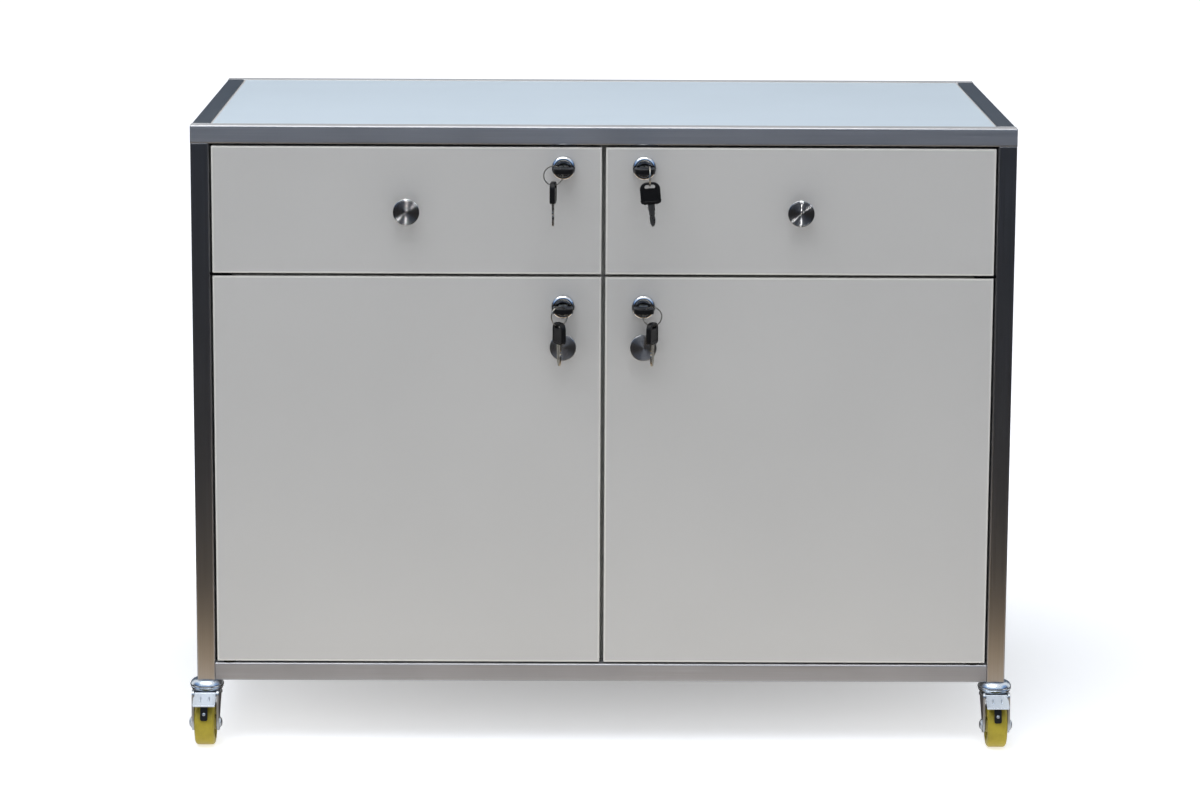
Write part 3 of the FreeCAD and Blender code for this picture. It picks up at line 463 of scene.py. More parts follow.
def map_grain(part, axis):
    """Lay a bar's grain map: V along the bar, U across it."""
    layer = part.loops.layers.uv.new(GRAIN)
    along = Vector([float(axis == i) for i in range(3)])
    spare = Vector([float((axis + 1) % 3 == i) for i in range(3)])
    for face in part.faces:
        across = along.cross(face.normal)
        across = across.normalized() if across.length > 0.5 else spare
        for loop in face.loops:
            loop[layer].uv = (loop.vert.co.dot(across), loop.vert.co.dot(along))


def join(whole, part, matrix=None, finish_number=None):
    """Move a part into place and add it to a piece's mesh."""
    if matrix is not None:
        bmesh.ops.transform(part, matrix=matrix, verts=part.verts)
    if finish_number is not None:
        for face in part.faces:
            face.material_index = finish_number
    carrier = bpy.data.meshes.new("carrier")
    part.to_mesh(carrier)
    part.free()
    whole.from_mesh(carrier)
    bpy.data.meshes.remove(carrier)


def put_in_scene(name, part):
    """Turn a mesh into an object of the scene."""
    mesh = bpy.data.meshes.new(name)
    part.to_mesh(mesh)
    part.free()
    made = bpy.data.objects.new(name, mesh)
    bpy.context.scene.collection.objects.link(made)
    return made


def make_object(name, part, finishes, place=None):
    """Move a mesh into place and turn it into a smooth shaded object with its finishes."""
    if place is not None:
        bmesh.ops.transform(part, matrix=place, verts=part.verts)
    for face in part.faces:
        face.smooth = True
    made = put_in_scene(name, part)
    for finish_name in finishes:
        made.data.materials.append(finish(finish_name))
    made.data.set_sharp_from_angle(angle=CREASE)
    return made


def carve(thing, cutter_part):
    """Cut a mesh out of an object, and keep the result as its mesh."""
    cutter = put_in_scene("cutter", cutter_part)
    cut = thing.modifiers.new("cut", "BOOLEAN")
    cut.operation = "DIFFERENCE"
    cut.solver = "EXACT"
    cut.object = cutter
    evaluated = thing.evaluated_get(bpy.context.evaluated_depsgraph_get())
    result = bpy.data.meshes.new_from_object(evaluated)
    thing.modifiers.remove(cut)
    thing.data = result
    result.name = thing.name
    bpy.data.objects.remove(cutter)
    return thing


def fit(thing, body, nodes):
    """Let a finished object ride on a body and stand for CAD nodes."""
    normals = thing.modifiers.new("flat faces", "WEIGHTED_NORMAL")
    normals.keep_sharp = True
    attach(thing, body)
    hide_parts(*nodes)


def middle_of(node):
    """Give the middle of a node's box."""
    low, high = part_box(node)
    return (low + high) / 2


def halves(node, width):
    """Give the boxes of a left and a right piece that share a node."""
    low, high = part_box(node)
    return {
        "left": (low, Vector((low.x + width, high.y, high.z))),
        "right": (Vector((high.x - width, low.y, low.z)), high),
    }


# Frame tubes

def tube(name, low, high, axis, node):
    """Make one length of square tube."""
    sizes = bpy.context.scene.cabinet_sizes
    part = block(low, high)
    ends = [edge for edge in part.edges if not runs_along(edge, axis)]
    soften(part, ends, sizes.tube_seam, 2)
    shortest = (high - low)[axis] - 3 * sizes.tube_seam
    corners = [edge for edge in edges_along(part, axis) if edge.calc_length() > shortest]
    soften(part, corners, sizes.tube_corner, 5)
    map_grain(part, axis)
    fit(make_object(name, part, ["brushed_tube"]), "cabinet", [node])


class CABINET_OT_tubes(bpy.types.Operator):
    """Make the welded frame of square tube"""

    bl_idname = "cabinet.tubes"
    bl_label = "Frame Tubes"

    def execute(self, context):
        for row in ("front", "rear"):
            for side, (low, high) in halves(f"posts_{row}", TUBE).items():
                tube(f"post_{row}_{side}", low, high, 2, f"posts_{row}")
            for level in ("top", "bottom"):
                node = f"{level}_rail_{row}"
                tube(f"{level}_rail_{row}_tube", *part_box(node), 0, node)
        for level in ("top", "bottom"):
            node = f"{level}_rails_side"
            for side, (low, high) in halves(node, TUBE).items():
                tube(f"{level}_rail_{side}_tube", low, high, 1, node)
        return {"FINISHED"}


# Boards

def board(name, low, high, face_axis, face_finish):
    """Make a faced board with soft edges and a lighter rim: banding and a painted edge highlight.
    """
    sizes = bpy.context.scene.cabinet_sizes
    part = block(low, high)
    soften(part, part.edges, sizes.board_edge, 3)
    faces = sorted(part.faces, key=lambda face: abs(face.normal[face_axis]) * face.calc_area())[-2:]
    for face in part.faces:
        face.material_index = 0 if face in faces else 1
    # A thin rim of each face takes the band's finish: banding and a painted edge highlight
    rim = bmesh.ops.inset_individual(
        part, faces=faces, thickness=sizes.band, depth=0.0, use_even_offset=True
    )
    for face in rim["faces"]:
        face.material_index = 1
    return make_object(name, part, [face_finish, "edge_band"])


def drill(thing, holes):
    """Drill round holes, each (centre, radius, length, turn), into an object."""
    cutter = bmesh.new()
    for centre, radius, depth, turn in holes:
        bmesh.ops.create_cone(
            cutter, cap_ends=True, cap_tris=False, segments=48, radius1=radius, radius2=radius,
            depth=depth, matrix=Matrix.Translation(centre) @ turn,
        )
    return carve(thing, cutter)


class CABINET_OT_boards(bpy.types.Operator):
    """Make the drawer fronts, doors, worktop and outer panels"""

    bl_idname = "cabinet.boards"
    bl_label = "Boards"

    lock_hole = 9.55 * MM
    stud_hole = 2.05 * MM
    pivot_hole = 3.05 * MM
    pivot_depth = 12 * MM

    def execute(self, context):
        for side in SIDES:
            for kind, node in (("drawer", f"drawer_front_{side}"), ("door", f"door_{side}")):
                low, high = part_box(node)
                depth = high.y - low.y
                front = board(f"{kind}_board_{side}", low, high, 1, "front_board")
                lock = middle_of(f"lock_body_{kind}_{side}")
                stud = middle_of(f"{kind}_knob_{side}")
                knob_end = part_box(f"{kind}_knob_{side}")[1].y
                middle = (low.y + high.y) / 2
                lock_at, stud_at = Vector((lock.x, middle, lock.z)), Vector((stud.x, low.y, stud.z))
                holes = [
                    (lock_at, self.lock_hole, depth * 2, TO_FRONT),
                    (stud_at, self.stud_hole, 2 * (knob_end - low.y), TO_FRONT),
                ]
                if kind == "door":
                    pivot = JOINTS[f"{side}_door_hinge"]["pos_m"]
                    for end in (low.z, high.z):
                        pivot_at = Vector((pivot[0], pivot[1], end))
                        holes.append((pivot_at, self.pivot_hole, 2 * self.pivot_depth, Matrix()))
                fit(drill(front, holes), f"{side}_{kind}", [node])
        worktop = board("worktop_board", *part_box("worktop_panel"), 2, "worktop_sheet")
        fit(worktop, "cabinet", ["worktop_panel"])
        panels = {"back_panel": 1, "side_panel_left": 0, "side_panel_right": 0, "floor_panel": 2}
        for node, axis in panels.items():
            panel = board(f"{node}_board", *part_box(node), axis, "front_board")
            fit(panel, "cabinet", [node])
        return {"FINISHED"}


# Knobs

def knob_profile(radius, proud, stud_end):
    """Draw a knob from the end of its stud to the middle of its face."""
    stud, neck, neck_end, rim = 2.0 * MM, 6.0 * MM, 7.0 * MM, 3.5 * MM
    edge, groove_at, groove = 0.7 * MM, 1.5 * MM, 0.15 * MM
    hollow = arc((radius - 0.5 * MM, neck_end), radius - 0.5 * MM - neck, 180, 118, 6)
    return [
        (0.0, -stud_end), (stud, -stud_end), (stud, 0.0), (neck, 0.0), *hollow,
        (radius - 0.3 * MM, proud - rim), (radius, proud - rim + 0.3 * MM),
        *arc((radius - edge, proud - edge), edge, 0, 90, 4),
        (radius - groove_at, proud), (radius - groove_at - groove, proud - groove),
        (radius - groove_at - 2 * groove, proud), (radius / 2, proud),
        (0.5 * MM, proud), (0.0, proud - 0.1 * MM),
    ]


class CABINET_OT_knobs(bpy.types.Operator):
    """Make the spun steel knobs"""

    bl_idname = "cabinet.knobs"
    bl_label = "Knobs"

    def execute(self, context):
        for kind, finish_name in (("drawer", "polished_knob"), ("door", "spun_knob")):
            for side in SIDES:
                node = f"{kind}_knob_{side}"
                low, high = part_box(node)
                at = middle_of(node)
                profile = knob_profile((high.x - low.x) / 2, FRONT_Y - low.y, high.y - FRONT_Y)
                part = turned(profile, 96)
                place = Matrix.Translation((at.x, FRONT_Y, at.z)) @ TO_FRONT
                knob = make_object(f"{node}_spun", part, [finish_name], place)
                fit(knob, f"{side}_{kind}", [node])
        return {"FINISHED"}


# Locks

BARREL = 8.0 * MM
BARREL_FACE = 8.4 * MM
BLADE_LENGTH = 25.0 * MM


def case_profile(radius, proud, tail):
    """Draw a lock's case, from the inside of its tail round to the inside of its face."""
    bore, neck, rim, crown = BARREL + 0.05 * MM, 9.5 * MM, 3.4 * MM, 3.9 * MM
    step = 0.35 * MM
    return [
        (bore, -tail), (neck, -tail), (neck, 0.0), (radius - 0.3 * MM, 0.0), (radius, 0.3 * MM),
        (radius, proud - crown / 2), *arc((radius - rim, proud - crown), crown, 35, 84, 8),
        (radius - rim - 0.3 * MM, proud - step / 2), (bore + 1.0 * MM, proud - step),
        (bore + 0.8 * MM, proud - 2 * step), (bore + 0.25 * MM, proud - 2 * step),
        (bore, proud - 3 * step),
    ]


def barrel_profile(tail):
    """Draw a lock's barrel from the end of its tail to the middle of its stepped face."""
    step, slope, edge = 0.25 * MM, 0.4 * MM, 0.5 * MM
    rings = []
    for number, radius in enumerate((6.1 * MM, 4.2 * MM)):
        rings.append((radius, BARREL_FACE - number * step))
        rings.append((radius - slope, BARREL_FACE - (number + 1) * step))
    return [
        (0.0, -tail), (BARREL, -tail), (BARREL, BARREL_FACE - edge), (BARREL - edge, BARREL_FACE),
        *rings, (0.0, rings[-1][1]),
    ]


class CABINET_OT_locks(bpy.types.Operator):
    """Make the round locks: case, nut, barrel and cam"""

    bl_idname = "cabinet.locks"
    bl_label = "Locks"

    nut_radius = 12.4 * MM
    nut_thick = 4 * MM
    nut_edge = 0.4 * MM
    cam_reach = 22 * MM
    cam_width = 12 * MM
    cam_thick = 2 * MM
    keyway = (9 * MM, 2.6 * MM)

    def execute(self, context):
        for tag in LOCKS:
            kind, side = tag.split("_")
            node = f"lock_body_{tag}"
            low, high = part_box(node)
            at = middle_of(node)
            front = f"drawer_front_{side}" if kind == "drawer" else f"door_{side}"
            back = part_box(front)[1].y - FRONT_Y
            place = Matrix.Translation((at.x, FRONT_Y, at.z)) @ TO_FRONT
            proud, tail = FRONT_Y - low.y, high.y - FRONT_Y
            whole = turned(case_profile((high.x - low.x) / 2, proud, tail), 72, closed=True)
            nut_height = -back - self.nut_thick / 2
            join(whole, hex_nut(self.nut_radius, self.nut_thick, nut_height, self.nut_edge))
            case = make_object(f"lock_case_{tag}", whole, ["polished_chrome"], place)
            fit(case, f"{side}_{kind}", [node])

            node = f"lock_barrel_{tag}"
            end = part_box(node)[1].y - FRONT_Y
            whole = turned(barrel_profile(end), 64)
            near, away = sorted((0.0, SIDES[side] * self.cam_reach))
            half = self.cam_width / 2
            cam = block((near, -half, -end), (away, half, self.cam_thick - end))
            far = [e for e in edges_along(cam, 2) if abs(e.verts[0].co.x) > self.cam_reach / 2]
            soften(cam, far, self.cam_width * 0.4, 8)
            join(whole, cam)
            barrel = make_object(f"lock_core_{tag}", whole, ["polished_chrome"], place)
            half = Vector((self.keyway[0] / 2, BLADE_LENGTH / 2, self.keyway[1] / 2))
            slot_at = Vector((at.x, FRONT_Y - BARREL_FACE + BLADE_LENGTH / 2 - 1 * MM, at.z))
            carve(barrel, block(slot_at - half, slot_at + half))
            fit(barrel, f"{side}_{kind}_lock", [node])
        return {"FINISHED"}


# Keys

HEAD_WIDTH = 22.0 * MM
HEAD_LENGTH = 23.0 * MM
HEAD_THICK = 5.6 * MM
SLOT_FROM_END = 4.5 * MM


def key_head(name, place):
    """Make a moulded key head with a slot, its far end at the origin and its blade end down."""
    sizes = bpy.context.scene.cabinet_sizes
    half_width, half_thick = HEAD_WIDTH / 2, HEAD_THICK / 2
    part = block((-half_width, -half_thick, -HEAD_LENGTH), (half_width, half_thick, 0.0))
    arch = [edge for edge in edges_along(part, 1) if edge.verts[0].co.z > -HEAD_LENGTH / 2]
    soften(part, arch, sizes.key_arch, 8)
    low = [edge for edge in edges_along(part, 1) if edge.verts[0].co.z < -HEAD_LENGTH * 0.99]
    soften(part, low, sizes.key_corner, 6)
    cheeks = [face for face in part.faces if abs(face.normal.y) > 0.99]
    soften(part, {edge for face in cheeks for edge in face.edges}, sizes.key_edge, 3)
    cheeks = sorted(part.faces, key=lambda face: abs(face.normal.y) * face.calc_area())[-2:]
    # A flat rim on each cheek, and a shallow dish inside it
    for width, depth in ((1.6 * MM, 0.0), (0.4 * MM, -0.4 * MM)):
        bmesh.ops.inset_individual(
            part, faces=cheeks, thickness=width, depth=depth, use_even_offset=True
        )
    head = make_object(name, part, ["key_moulding"], place)
    slot_width, slot_height, slot_arch, slot_corner = 11.4 * MM, 4.4 * MM, 2.4 * MM, 1.2 * MM
    slot = block(
        (-slot_width / 2, -HEAD_THICK, -SLOT_FROM_END - slot_height / 2),
        (slot_width / 2, HEAD_THICK, -SLOT_FROM_END + slot_height / 2),
    )
    high = [edge for edge in edges_along(slot, 1) if edge.verts[0].co.z > -SLOT_FROM_END]
    soften(slot, high, slot_arch, 6)
    foot = -SLOT_FROM_END - slot_height / 4
    low = [edge for edge in edges_along(slot, 1) if edge.verts[0].co.z < foot]
    soften(slot, low, slot_corner, 4)
    bmesh.ops.transform(slot, matrix=place, verts=slot.verts)
    return carve(head, slot)


def key_blade(name, place):
    """Press a key's steel blade, waisted towards its tip, below a head that ends at the origin."""
    thick, groove, groove_depth = 2.0 * MM, 0.7 * MM, 0.35 * MM
    # Half the blade's width at heights below the head, in millimetres
    steps = (
        (3.7, 3.0), (3.7, -7.5), (2.9, -8.5), (2.9, -9.5), (3.3, -10.5), (3.3, -11.5), (2.4, -13.0),
        (3.0, -14.5), (3.0, -20.5), (1.2, -25.0),
    )
    half = [(width * MM, height * MM - HEAD_LENGTH) for width, height in steps]
    outline = [*half, *[(-width, height) for width, height in reversed(half)]]
    part = drawn_out([(x, -thick / 2, z) for x, z in outline], (0, thick, 0))
    blade = make_object(name, part, ["key_nickel"], place)
    cutter = bmesh.new()
    for face_side in (-1, 1):
        cut = block(
            (-groove, -groove_depth, -HEAD_LENGTH - BLADE_LENGTH * 0.75),
            (groove, groove_depth, -HEAD_LENGTH - groove),
        )
        join(cutter, cut, Matrix.Translation((0.0, face_side * thick / 2, 0.0)))
    bmesh.ops.transform(cutter, matrix=place, verts=cutter.verts)
    return carve(blade, cutter)


def split_ring(name, place, radius, wire):
    """Make a ring of two turns of wire side by side."""
    turns, steps = 2, 64
    part = bmesh.new()
    thick = wire * 0.92
    corners = [
        part.verts.new((radius + x * wire, 0.0, z * thick - wire / 2))
        for x, z in ((-0.7, -0.5), (0.7, -0.5), (0.9, 0.0), (0.7, 0.5), (-0.7, 0.5), (-0.9, 0.0))
    ]
    edges = [part.edges.new(pair) for pair in zip(corners, corners[1:] + corners[:1])]
    rise = Vector((0.0, 0.0, wire / steps))
    bmesh.ops.spin(
        part, geom=corners + edges, cent=(0, 0, 0), axis=(0, 0, 1), dvec=rise,
        angle=math.tau * turns, steps=steps * turns,
        use_merge=False, use_normal_flip=False, use_duplicate=False,
    )
    bmesh.ops.holes_fill(part, edges=part.edges, sides=len(corners))
    bmesh.ops.recalc_face_normals(part, faces=part.faces)
    return make_object(name, part, ["key_nickel"], place)


class CABINET_OT_keys(bpy.types.Operator):
    """Make the keys in the locks, and the rings with the spare keys"""

    bl_idname = "cabinet.keys"
    bl_label = "Keys"

    ring_radius = 10.3 * MM
    ring_wire = 0.6 * MM
    key_hang = 0.8 * MM

    def execute(self, context):
        for tag in LOCKS:
            kind, side = tag.split("_")
            owner = f"{side}_{kind}"
            node = f"lock_barrel_{tag}"
            at = middle_of(f"lock_body_{tag}")
            place = Matrix.Translation((at.x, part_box(node)[0].y, at.z)) @ TO_FRONT
            self.key(f"lock_key_{{}}_{tag}", place, f"{owner}_lock", node)

            node = f"spare_key_{tag}"
            hang = middle_of(node)
            hang.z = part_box(node)[1].z - self.ring_radius - self.ring_wire
            turn = Matrix.Rotation(math.radians(-90), 4, "X")
            if tag in END_RING_TURNS:
                outwards = SIDES[side] * math.radians(END_RING_TURNS[tag])
                turn = Matrix.Rotation(outwards, 4, "Z") @ ALONG_X
            facing, leaning = [math.radians(angle) for angle in KEY_TURNS[tag]]
            if leaning:
                hang.x = JOINTS[f"{owner}_ring_swing"]["pos_m"][0]
            ring_place = Matrix.Translation(hang) @ turn
            ring = split_ring(f"key_ring_{tag}", ring_place, self.ring_radius, self.ring_wire)
            fit(ring, f"{owner}_key_ring", [node])
            hang.z += SLOT_FROM_END - self.ring_radius - self.key_hang
            turn = Matrix.Rotation(facing, 4, "Z") @ Matrix.Rotation(leaning, 4, "Y")
            place = Matrix.Translation(hang) @ turn
            self.key(f"spare_key_{{}}_{tag}", place, f"{owner}_key_ring", node)
        return {"FINISHED"}

    def key(self, name, place, body, node):
        """Make a key's head and blade."""
        fit(key_head(name.format("head"), place), body, [node])
        fit(key_blade(name.format("blade"), place), body, [node])


# Castors

CROWN_TOP = 57.0 * MM
CROWN_UNDER = 53.5 * MM
POST_FOOT = 70.0 * MM
FORK_INSIDE = 25.0 * MM
FORK_STEEL = 2.5 * MM
WHEEL = 25.0 * MM
TRAIL = 22.0 * MM
PEDAL_FORWARD = 24.0 * MM
EAR = 4.5 * MM


def head_profile():
    """Draw a castor's fixed head, from its rivet up to the end of its stem."""
    # Radius and height of the two cups of the ball race, in millimetres
    cups = (
        (14.6, 57.3), (15.6, 57.6), (17.0, 58.9), (18.0, 60.4), (18.4, 61.6), (18.1, 62.1),
        (17.9, 62.3), (18.2, 62.6), (18.7, 63.1), (18.8, 64.0), (18.5, 65.2), (17.4, 67.2),
        (15.8, 68.9), (14.0, 69.8),
    )
    return [
        (0.0, 50.2 * MM), *arc((5.6 * MM, 51.4 * MM), 1.2 * MM, -90, 0, 3), (8.0 * MM, 52.0 * MM),
        (8.0 * MM, 53.2 * MM), (5.0 * MM, 53.2 * MM), (5.0 * MM, 57.3 * MM),
        *[(radius * MM, height * MM) for radius, height in cups], (13.0 * MM, POST_FOOT),
        (5.0 * MM, POST_FOOT), (5.0 * MM, 94.0 * MM), (4.2 * MM, 95.0 * MM), (0.0, 95.0 * MM),
    ]


def fork_shell(with_ears):
    """Press a fork from one sheet: two legs, the bridge between them and ears for a pedal's pin."""
    sizes = bpy.context.scene.cabinet_sizes
    eye, back, brow, bridge = 9.0 * MM, 9.0 * MM, 49.0 * MM, 17.5 * MM
    bend = 3.2 * MM
    front = PEDAL_FORWARD + EAR
    half = FORK_INSIDE / 2 + FORK_STEEL
    rounding = arc((-TRAIL, WHEEL), eye, 200, 340, 12)
    brow_end = [(-front, CROWN_TOP)]
    if with_ears:
        brow_end = arc((-PEDAL_FORWARD, CROWN_TOP), EAR, 0, 180, 12)
    side = [
        (back, CROWN_TOP), (-bridge, CROWN_TOP), *brow_end, (-front, brow),
        (-TRAIL - eye, WHEEL + 4 * MM), *rounding, (eye - TRAIL, WHEEL + 4 * MM), (back, brow),
    ]
    part = drawn_out([(-half, y, z) for y, z in side], (2 * half, 0, 0))
    spare = []
    for face in part.faces:
        middle = face.calc_center_median()
        if abs(face.normal.x) < 0.9 and not (face.normal.z > 0.9 and middle.y > -bridge):
            spare.append(face)
    bmesh.ops.delete(part, geom=spare, context="FACES")
    bends = [e for e in part.edges if len(e.link_faces) == 2]
    soften(part, bends, bend, 5)
    bmesh.ops.recalc_face_normals(part, faces=part.faces)
    part.normal_update()
    top = max(part.faces, key=lambda face: face.normal.z * face.calc_area())
    inward = FORK_STEEL if top.normal.z > 0 else -FORK_STEEL
    bmesh.ops.solidify(part, geom=list(part.faces), thickness=inward)
    bmesh.ops.recalc_face_normals(part, faces=part.faces)
    soften(part, rims_of(part), sizes.press_edge, 2)
    return part


def pedal_plate():
    """Press the brake's tread plate with two grips, its Y down the slope from the knuckle."""
    wide, narrow, run, neck, steel = 25.5 * MM, 24.0 * MM, 25.6 * MM, 8.0 * MM, 2.0 * MM
    corner, edge, grip_size = 2.0 * MM, 0.5 * MM, (1.1 * MM, 4.6 * MM, 1.2 * MM)
    outline = [
        (-narrow / 2, 0.0), (narrow / 2, 0.0), (narrow / 2, -neck), (wide / 2, -neck - 2 * MM),
        *arc((wide / 2 - corner, corner - run), corner, 0, -90, 6),
        *arc((corner - wide / 2, corner - run), corner, -90, -180, 6),
        (-wide / 2, -neck - 2 * MM), (-narrow / 2, -neck),
    ]
    part = drawn_out([(x, y, 0.0) for x, y in outline], (0, 0, -steel))
    soften(part, rims_of(part), edge, 3)
    for x in (-4.5 * MM, 5.0 * MM):
        grip = bmesh.new()
        bmesh.ops.create_uvsphere(grip, u_segments=16, v_segments=8, radius=1.0)
        bmesh.ops.scale(grip, vec=grip_size, verts=grip.verts)
        join(part, grip, Matrix.Translation((x, -0.52 * run, 0.0)))
    return part


class CABINET_OT_castors(bpy.types.Operator):
    """Make the castors: heads, forks, axles, wheels and brake pedals"""

    bl_idname = "cabinet.castors"
    bl_label = "Castors"

    def execute(self, context):
        for tag in CASTORS:
            swivel = Vector(JOINTS[f"{tag}_swivel"]["pos_m"])
            at = Matrix.Translation((swivel.x, swivel.y, 0.0))
            part = turned(head_profile(), 64)
            head = make_object(f"castor_head_{tag}", part, ["bright_zinc"], at)
            fit(head, "cabinet", ["castor_heads"])
            self.fork(tag, at)
            self.wheel(tag)
            if tag in BRAKED:
                self.brake(tag, swivel)
        return {"FINISHED"}

    def fork(self, tag, at):
        """Make a fork with its crown, and the axle with its domed nuts."""
        whole = fork_shell(tag in BRAKED)
        crown = turned((
            (5.05 * MM, CROWN_UNDER), (16.4 * MM, CROWN_UNDER), (17.0 * MM, CROWN_UNDER + 0.6 * MM),
            (17.0 * MM, CROWN_TOP - 1.2 * MM), (15.8 * MM, CROWN_TOP), (5.05 * MM, CROWN_TOP),
        ), 64, closed=True)
        join(whole, crown)
        outside = FORK_INSIDE / 2 + FORK_STEEL
        axle, nut_radius, nut_thick, nut_edge = 4.0 * MM, 6.4 * MM, 1.6 * MM, 0.3 * MM
        axle_at = Matrix.Translation((0.0, -TRAIL, WHEEL)) @ ALONG_X
        join(whole, rod(axle, outside, 32), axle_at)
        dome_height = 0.38
        dome_profile = [
            *arc((0.0, 0.0), 4.9 * MM, 0, 60, 6), *arc((0.0, -1.2 * MM), 5.6 * MM, 68, 90, 4),
        ]
        for end in (-1, 1):
            nut = hex_nut(nut_radius, nut_thick, end * (outside + nut_thick / 2), nut_edge)
            join(whole, nut, axle_at)
            dome_at = Matrix.Translation((0.0, 0.0, end * (outside + nut_thick)))
            flatten = Matrix.Diagonal((1.0, 1.0, end * dome_height, 1.0))
            join(whole, turned(dome_profile, 32), axle_at @ dome_at @ flatten)
        bmesh.ops.transform(whole, matrix=at, verts=whole.verts)
        bmesh.ops.recalc_face_normals(whole, faces=whole.faces)
        node = f"castor_fork_{tag}"
        # The fork's zinc is darkened partly as painted shade
        fork = make_object(f"{node}_pressed", whole, ["dull_zinc"])
        fit(fork, f"{tag}_castor", [node])

    def wheel(self, tag):
        """Make the cast tyre and its hub."""
        node = f"castor_wheel_{tag}"
        low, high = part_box(node)
        centre = (low + high) / 2
        at = Matrix.Translation(centre) @ ALONG_X
        tread, edge, rim = (high.z - low.z) / 2, 11.0 * MM, 17.0 * MM
        crown = 4.0 * MM
        shoulder = arc((tread - crown, edge - crown), crown, 90, 12, 7)
        half = [(rim, edge - 0.3 * MM), (rim + 0.8 * MM, edge), *shoulder]
        tyre = turned(mirrored(half), 96, closed=True)
        tyre = make_object(f"wheel_tyre_{tag}", tyre, ["wheel_tread"], at)
        fit(tyre, f"{tag}_wheel", [node])
        bore, boss, disc = 4.05 * MM, 8.0 * MM, 6.5 * MM
        half = [
            (bore, 12.0 * MM), (boss - 0.6 * MM, 12.0 * MM), (boss, 11.4 * MM),
            (boss + 0.8 * MM, disc), (rim - 2.4 * MM, disc), (rim - 1.6 * MM, 9.6 * MM),
            (rim, 10.0 * MM),
        ]
        hub = turned(mirrored(half), 72, closed=True)
        hub = make_object(f"wheel_centre_{tag}", hub, ["wheel_hub"], at)
        fit(hub, f"{tag}_wheel", [node])

    def brake(self, tag, swivel):
        """Make the pedal with its rolled knuckle and pin, and the shoe with its screw."""
        node = f"brake_pedal_{tag}"
        pivot = Vector(JOINTS[f"{tag}_brake_lift"]["pos_m"])
        knuckle, pin, width = 2.5 * MM, 1.75 * MM, 24.0 * MM
        lip_forward, lip_top = 48.0 * MM, 50.5 * MM
        start = Vector((pivot.x, pivot.y, pivot.z + knuckle))
        slope = math.atan2(start.z - lip_top, lip_forward - PEDAL_FORWARD)
        whole = pedal_plate()
        plate_at = Matrix.Translation(start) @ Matrix.Rotation(slope, 4, "X")
        bmesh.ops.transform(whole, matrix=plate_at, verts=whole.verts)
        roll = turned((
            (0.0, -width / 2), (knuckle - 0.3 * MM, -width / 2), (knuckle, 0.3 * MM - width / 2),
            (knuckle, width / 2 - 0.3 * MM), (knuckle - 0.3 * MM, width / 2), (0.0, width / 2),
        ), 32)
        across = Matrix.Translation(pivot) @ ALONG_X
        join(whole, roll, across)
        reach = FORK_INSIDE / 2 + FORK_STEEL
        join(whole, rod(pin, reach, 24), across)
        pedal = make_object(f"pedal_plate_{tag}", whole, ["bright_zinc"])
        fit(pedal, f"{tag}_brake", [node])

        tilt = math.radians(20.0)
        shoe_width, thick, foot, top, play = 8.0 * MM, 2.3 * MM, 32.5 * MM, 51.5 * MM, 0.4 * MM
        height = (top - foot) / math.cos(tilt)
        part = block((-shoe_width / 2, -thick, 0.0), (shoe_width / 2, 0.0, height))
        corner, edge, screw_radius = 2.0 * MM, 0.3 * MM, 1.9 * MM
        low_corners = [e for e in edges_along(part, 1) if e.verts[0].co.z < MM]
        soften(part, low_corners, corner, 4)
        soften(part, rims_of(part), edge, 2)
        screw = turned((*arc((0.0, 0.0), screw_radius, 0, 80, 6), (0.0, screw_radius)), 20)
        bmesh.ops.scale(screw, vec=(1.0, 1.0, 0.5), verts=screw.verts)
        screw_at = Matrix.Translation((0.0, -thick, height * 0.36)) @ TO_FRONT
        join(part, screw, screw_at, 1)
        ahead = (WHEEL + play - (foot - WHEEL) * math.sin(tilt)) / math.cos(tilt)
        foot_y = swivel.y - TRAIL - ahead
        at = Matrix.Translation((swivel.x, foot_y, foot)) @ Matrix.Rotation(-tilt, 4, "X")
        # The shoe is near black; its screw takes the forks' darker zinc, partly painted shade
        shoe = make_object(f"brake_shoe_{tag}", part, ["blackened_steel", "dull_zinc"], at)
        fit(shoe, f"{tag}_brake", [node])


# Inner pieces that keep their solids

class CABINET_OT_inner(bpy.types.Operator):
    """Finish the inner boards and fittings, whose solids are shown as they are"""

    bl_idname = "cabinet.inner"
    bl_label = "Inner Pieces"

    def execute(self, context):
        finishes = {
            "inner_board": ("centre_partition", "drawer_shelves", "cupboard_shelves"),
            "drawer_board": ("drawer_box_left", "drawer_box_right"),
            "bright_zinc": (
                "frame_tabs", "shelf_pins", "lock_strikes", "slide_outer_members",
                "slide_middle_left", "slide_middle_right", "slide_inner_left", "slide_inner_right",
            ),
            "blackened_steel": ("door_pivots",),
            "black_moulding": ("door_catches", "castor_inserts"),
        }
        for finish_name, names in finishes.items():
            for name in names:
                mesh = frame["nodes"][name].data
                mesh.materials.clear()
                mesh.materials.append(finish(finish_name))
        bare = [name for name, thing in frame["nodes"].items() if not thing.hide_render]
        unfinished = set(bare) - {name for names in finishes.values() for name in names}
        if unfinished:
            raise RuntimeError(f"no finish for {sorted(unfinished)}")
        return {"FINISHED"}


# Stage

def seen_directly(tree):
    """Give 1 for rays from the camera, a mirror or glass, and 0 for light that falls on things."""
    rays = shade(tree, "ShaderNodeLightPath").outputs
    both = maths(tree, "MAXIMUM", rays["Is Camera Ray"], rays["Is Glossy Ray"])
    return maths(tree, "MAXIMUM", both, rays["Is Transmission Ray"])


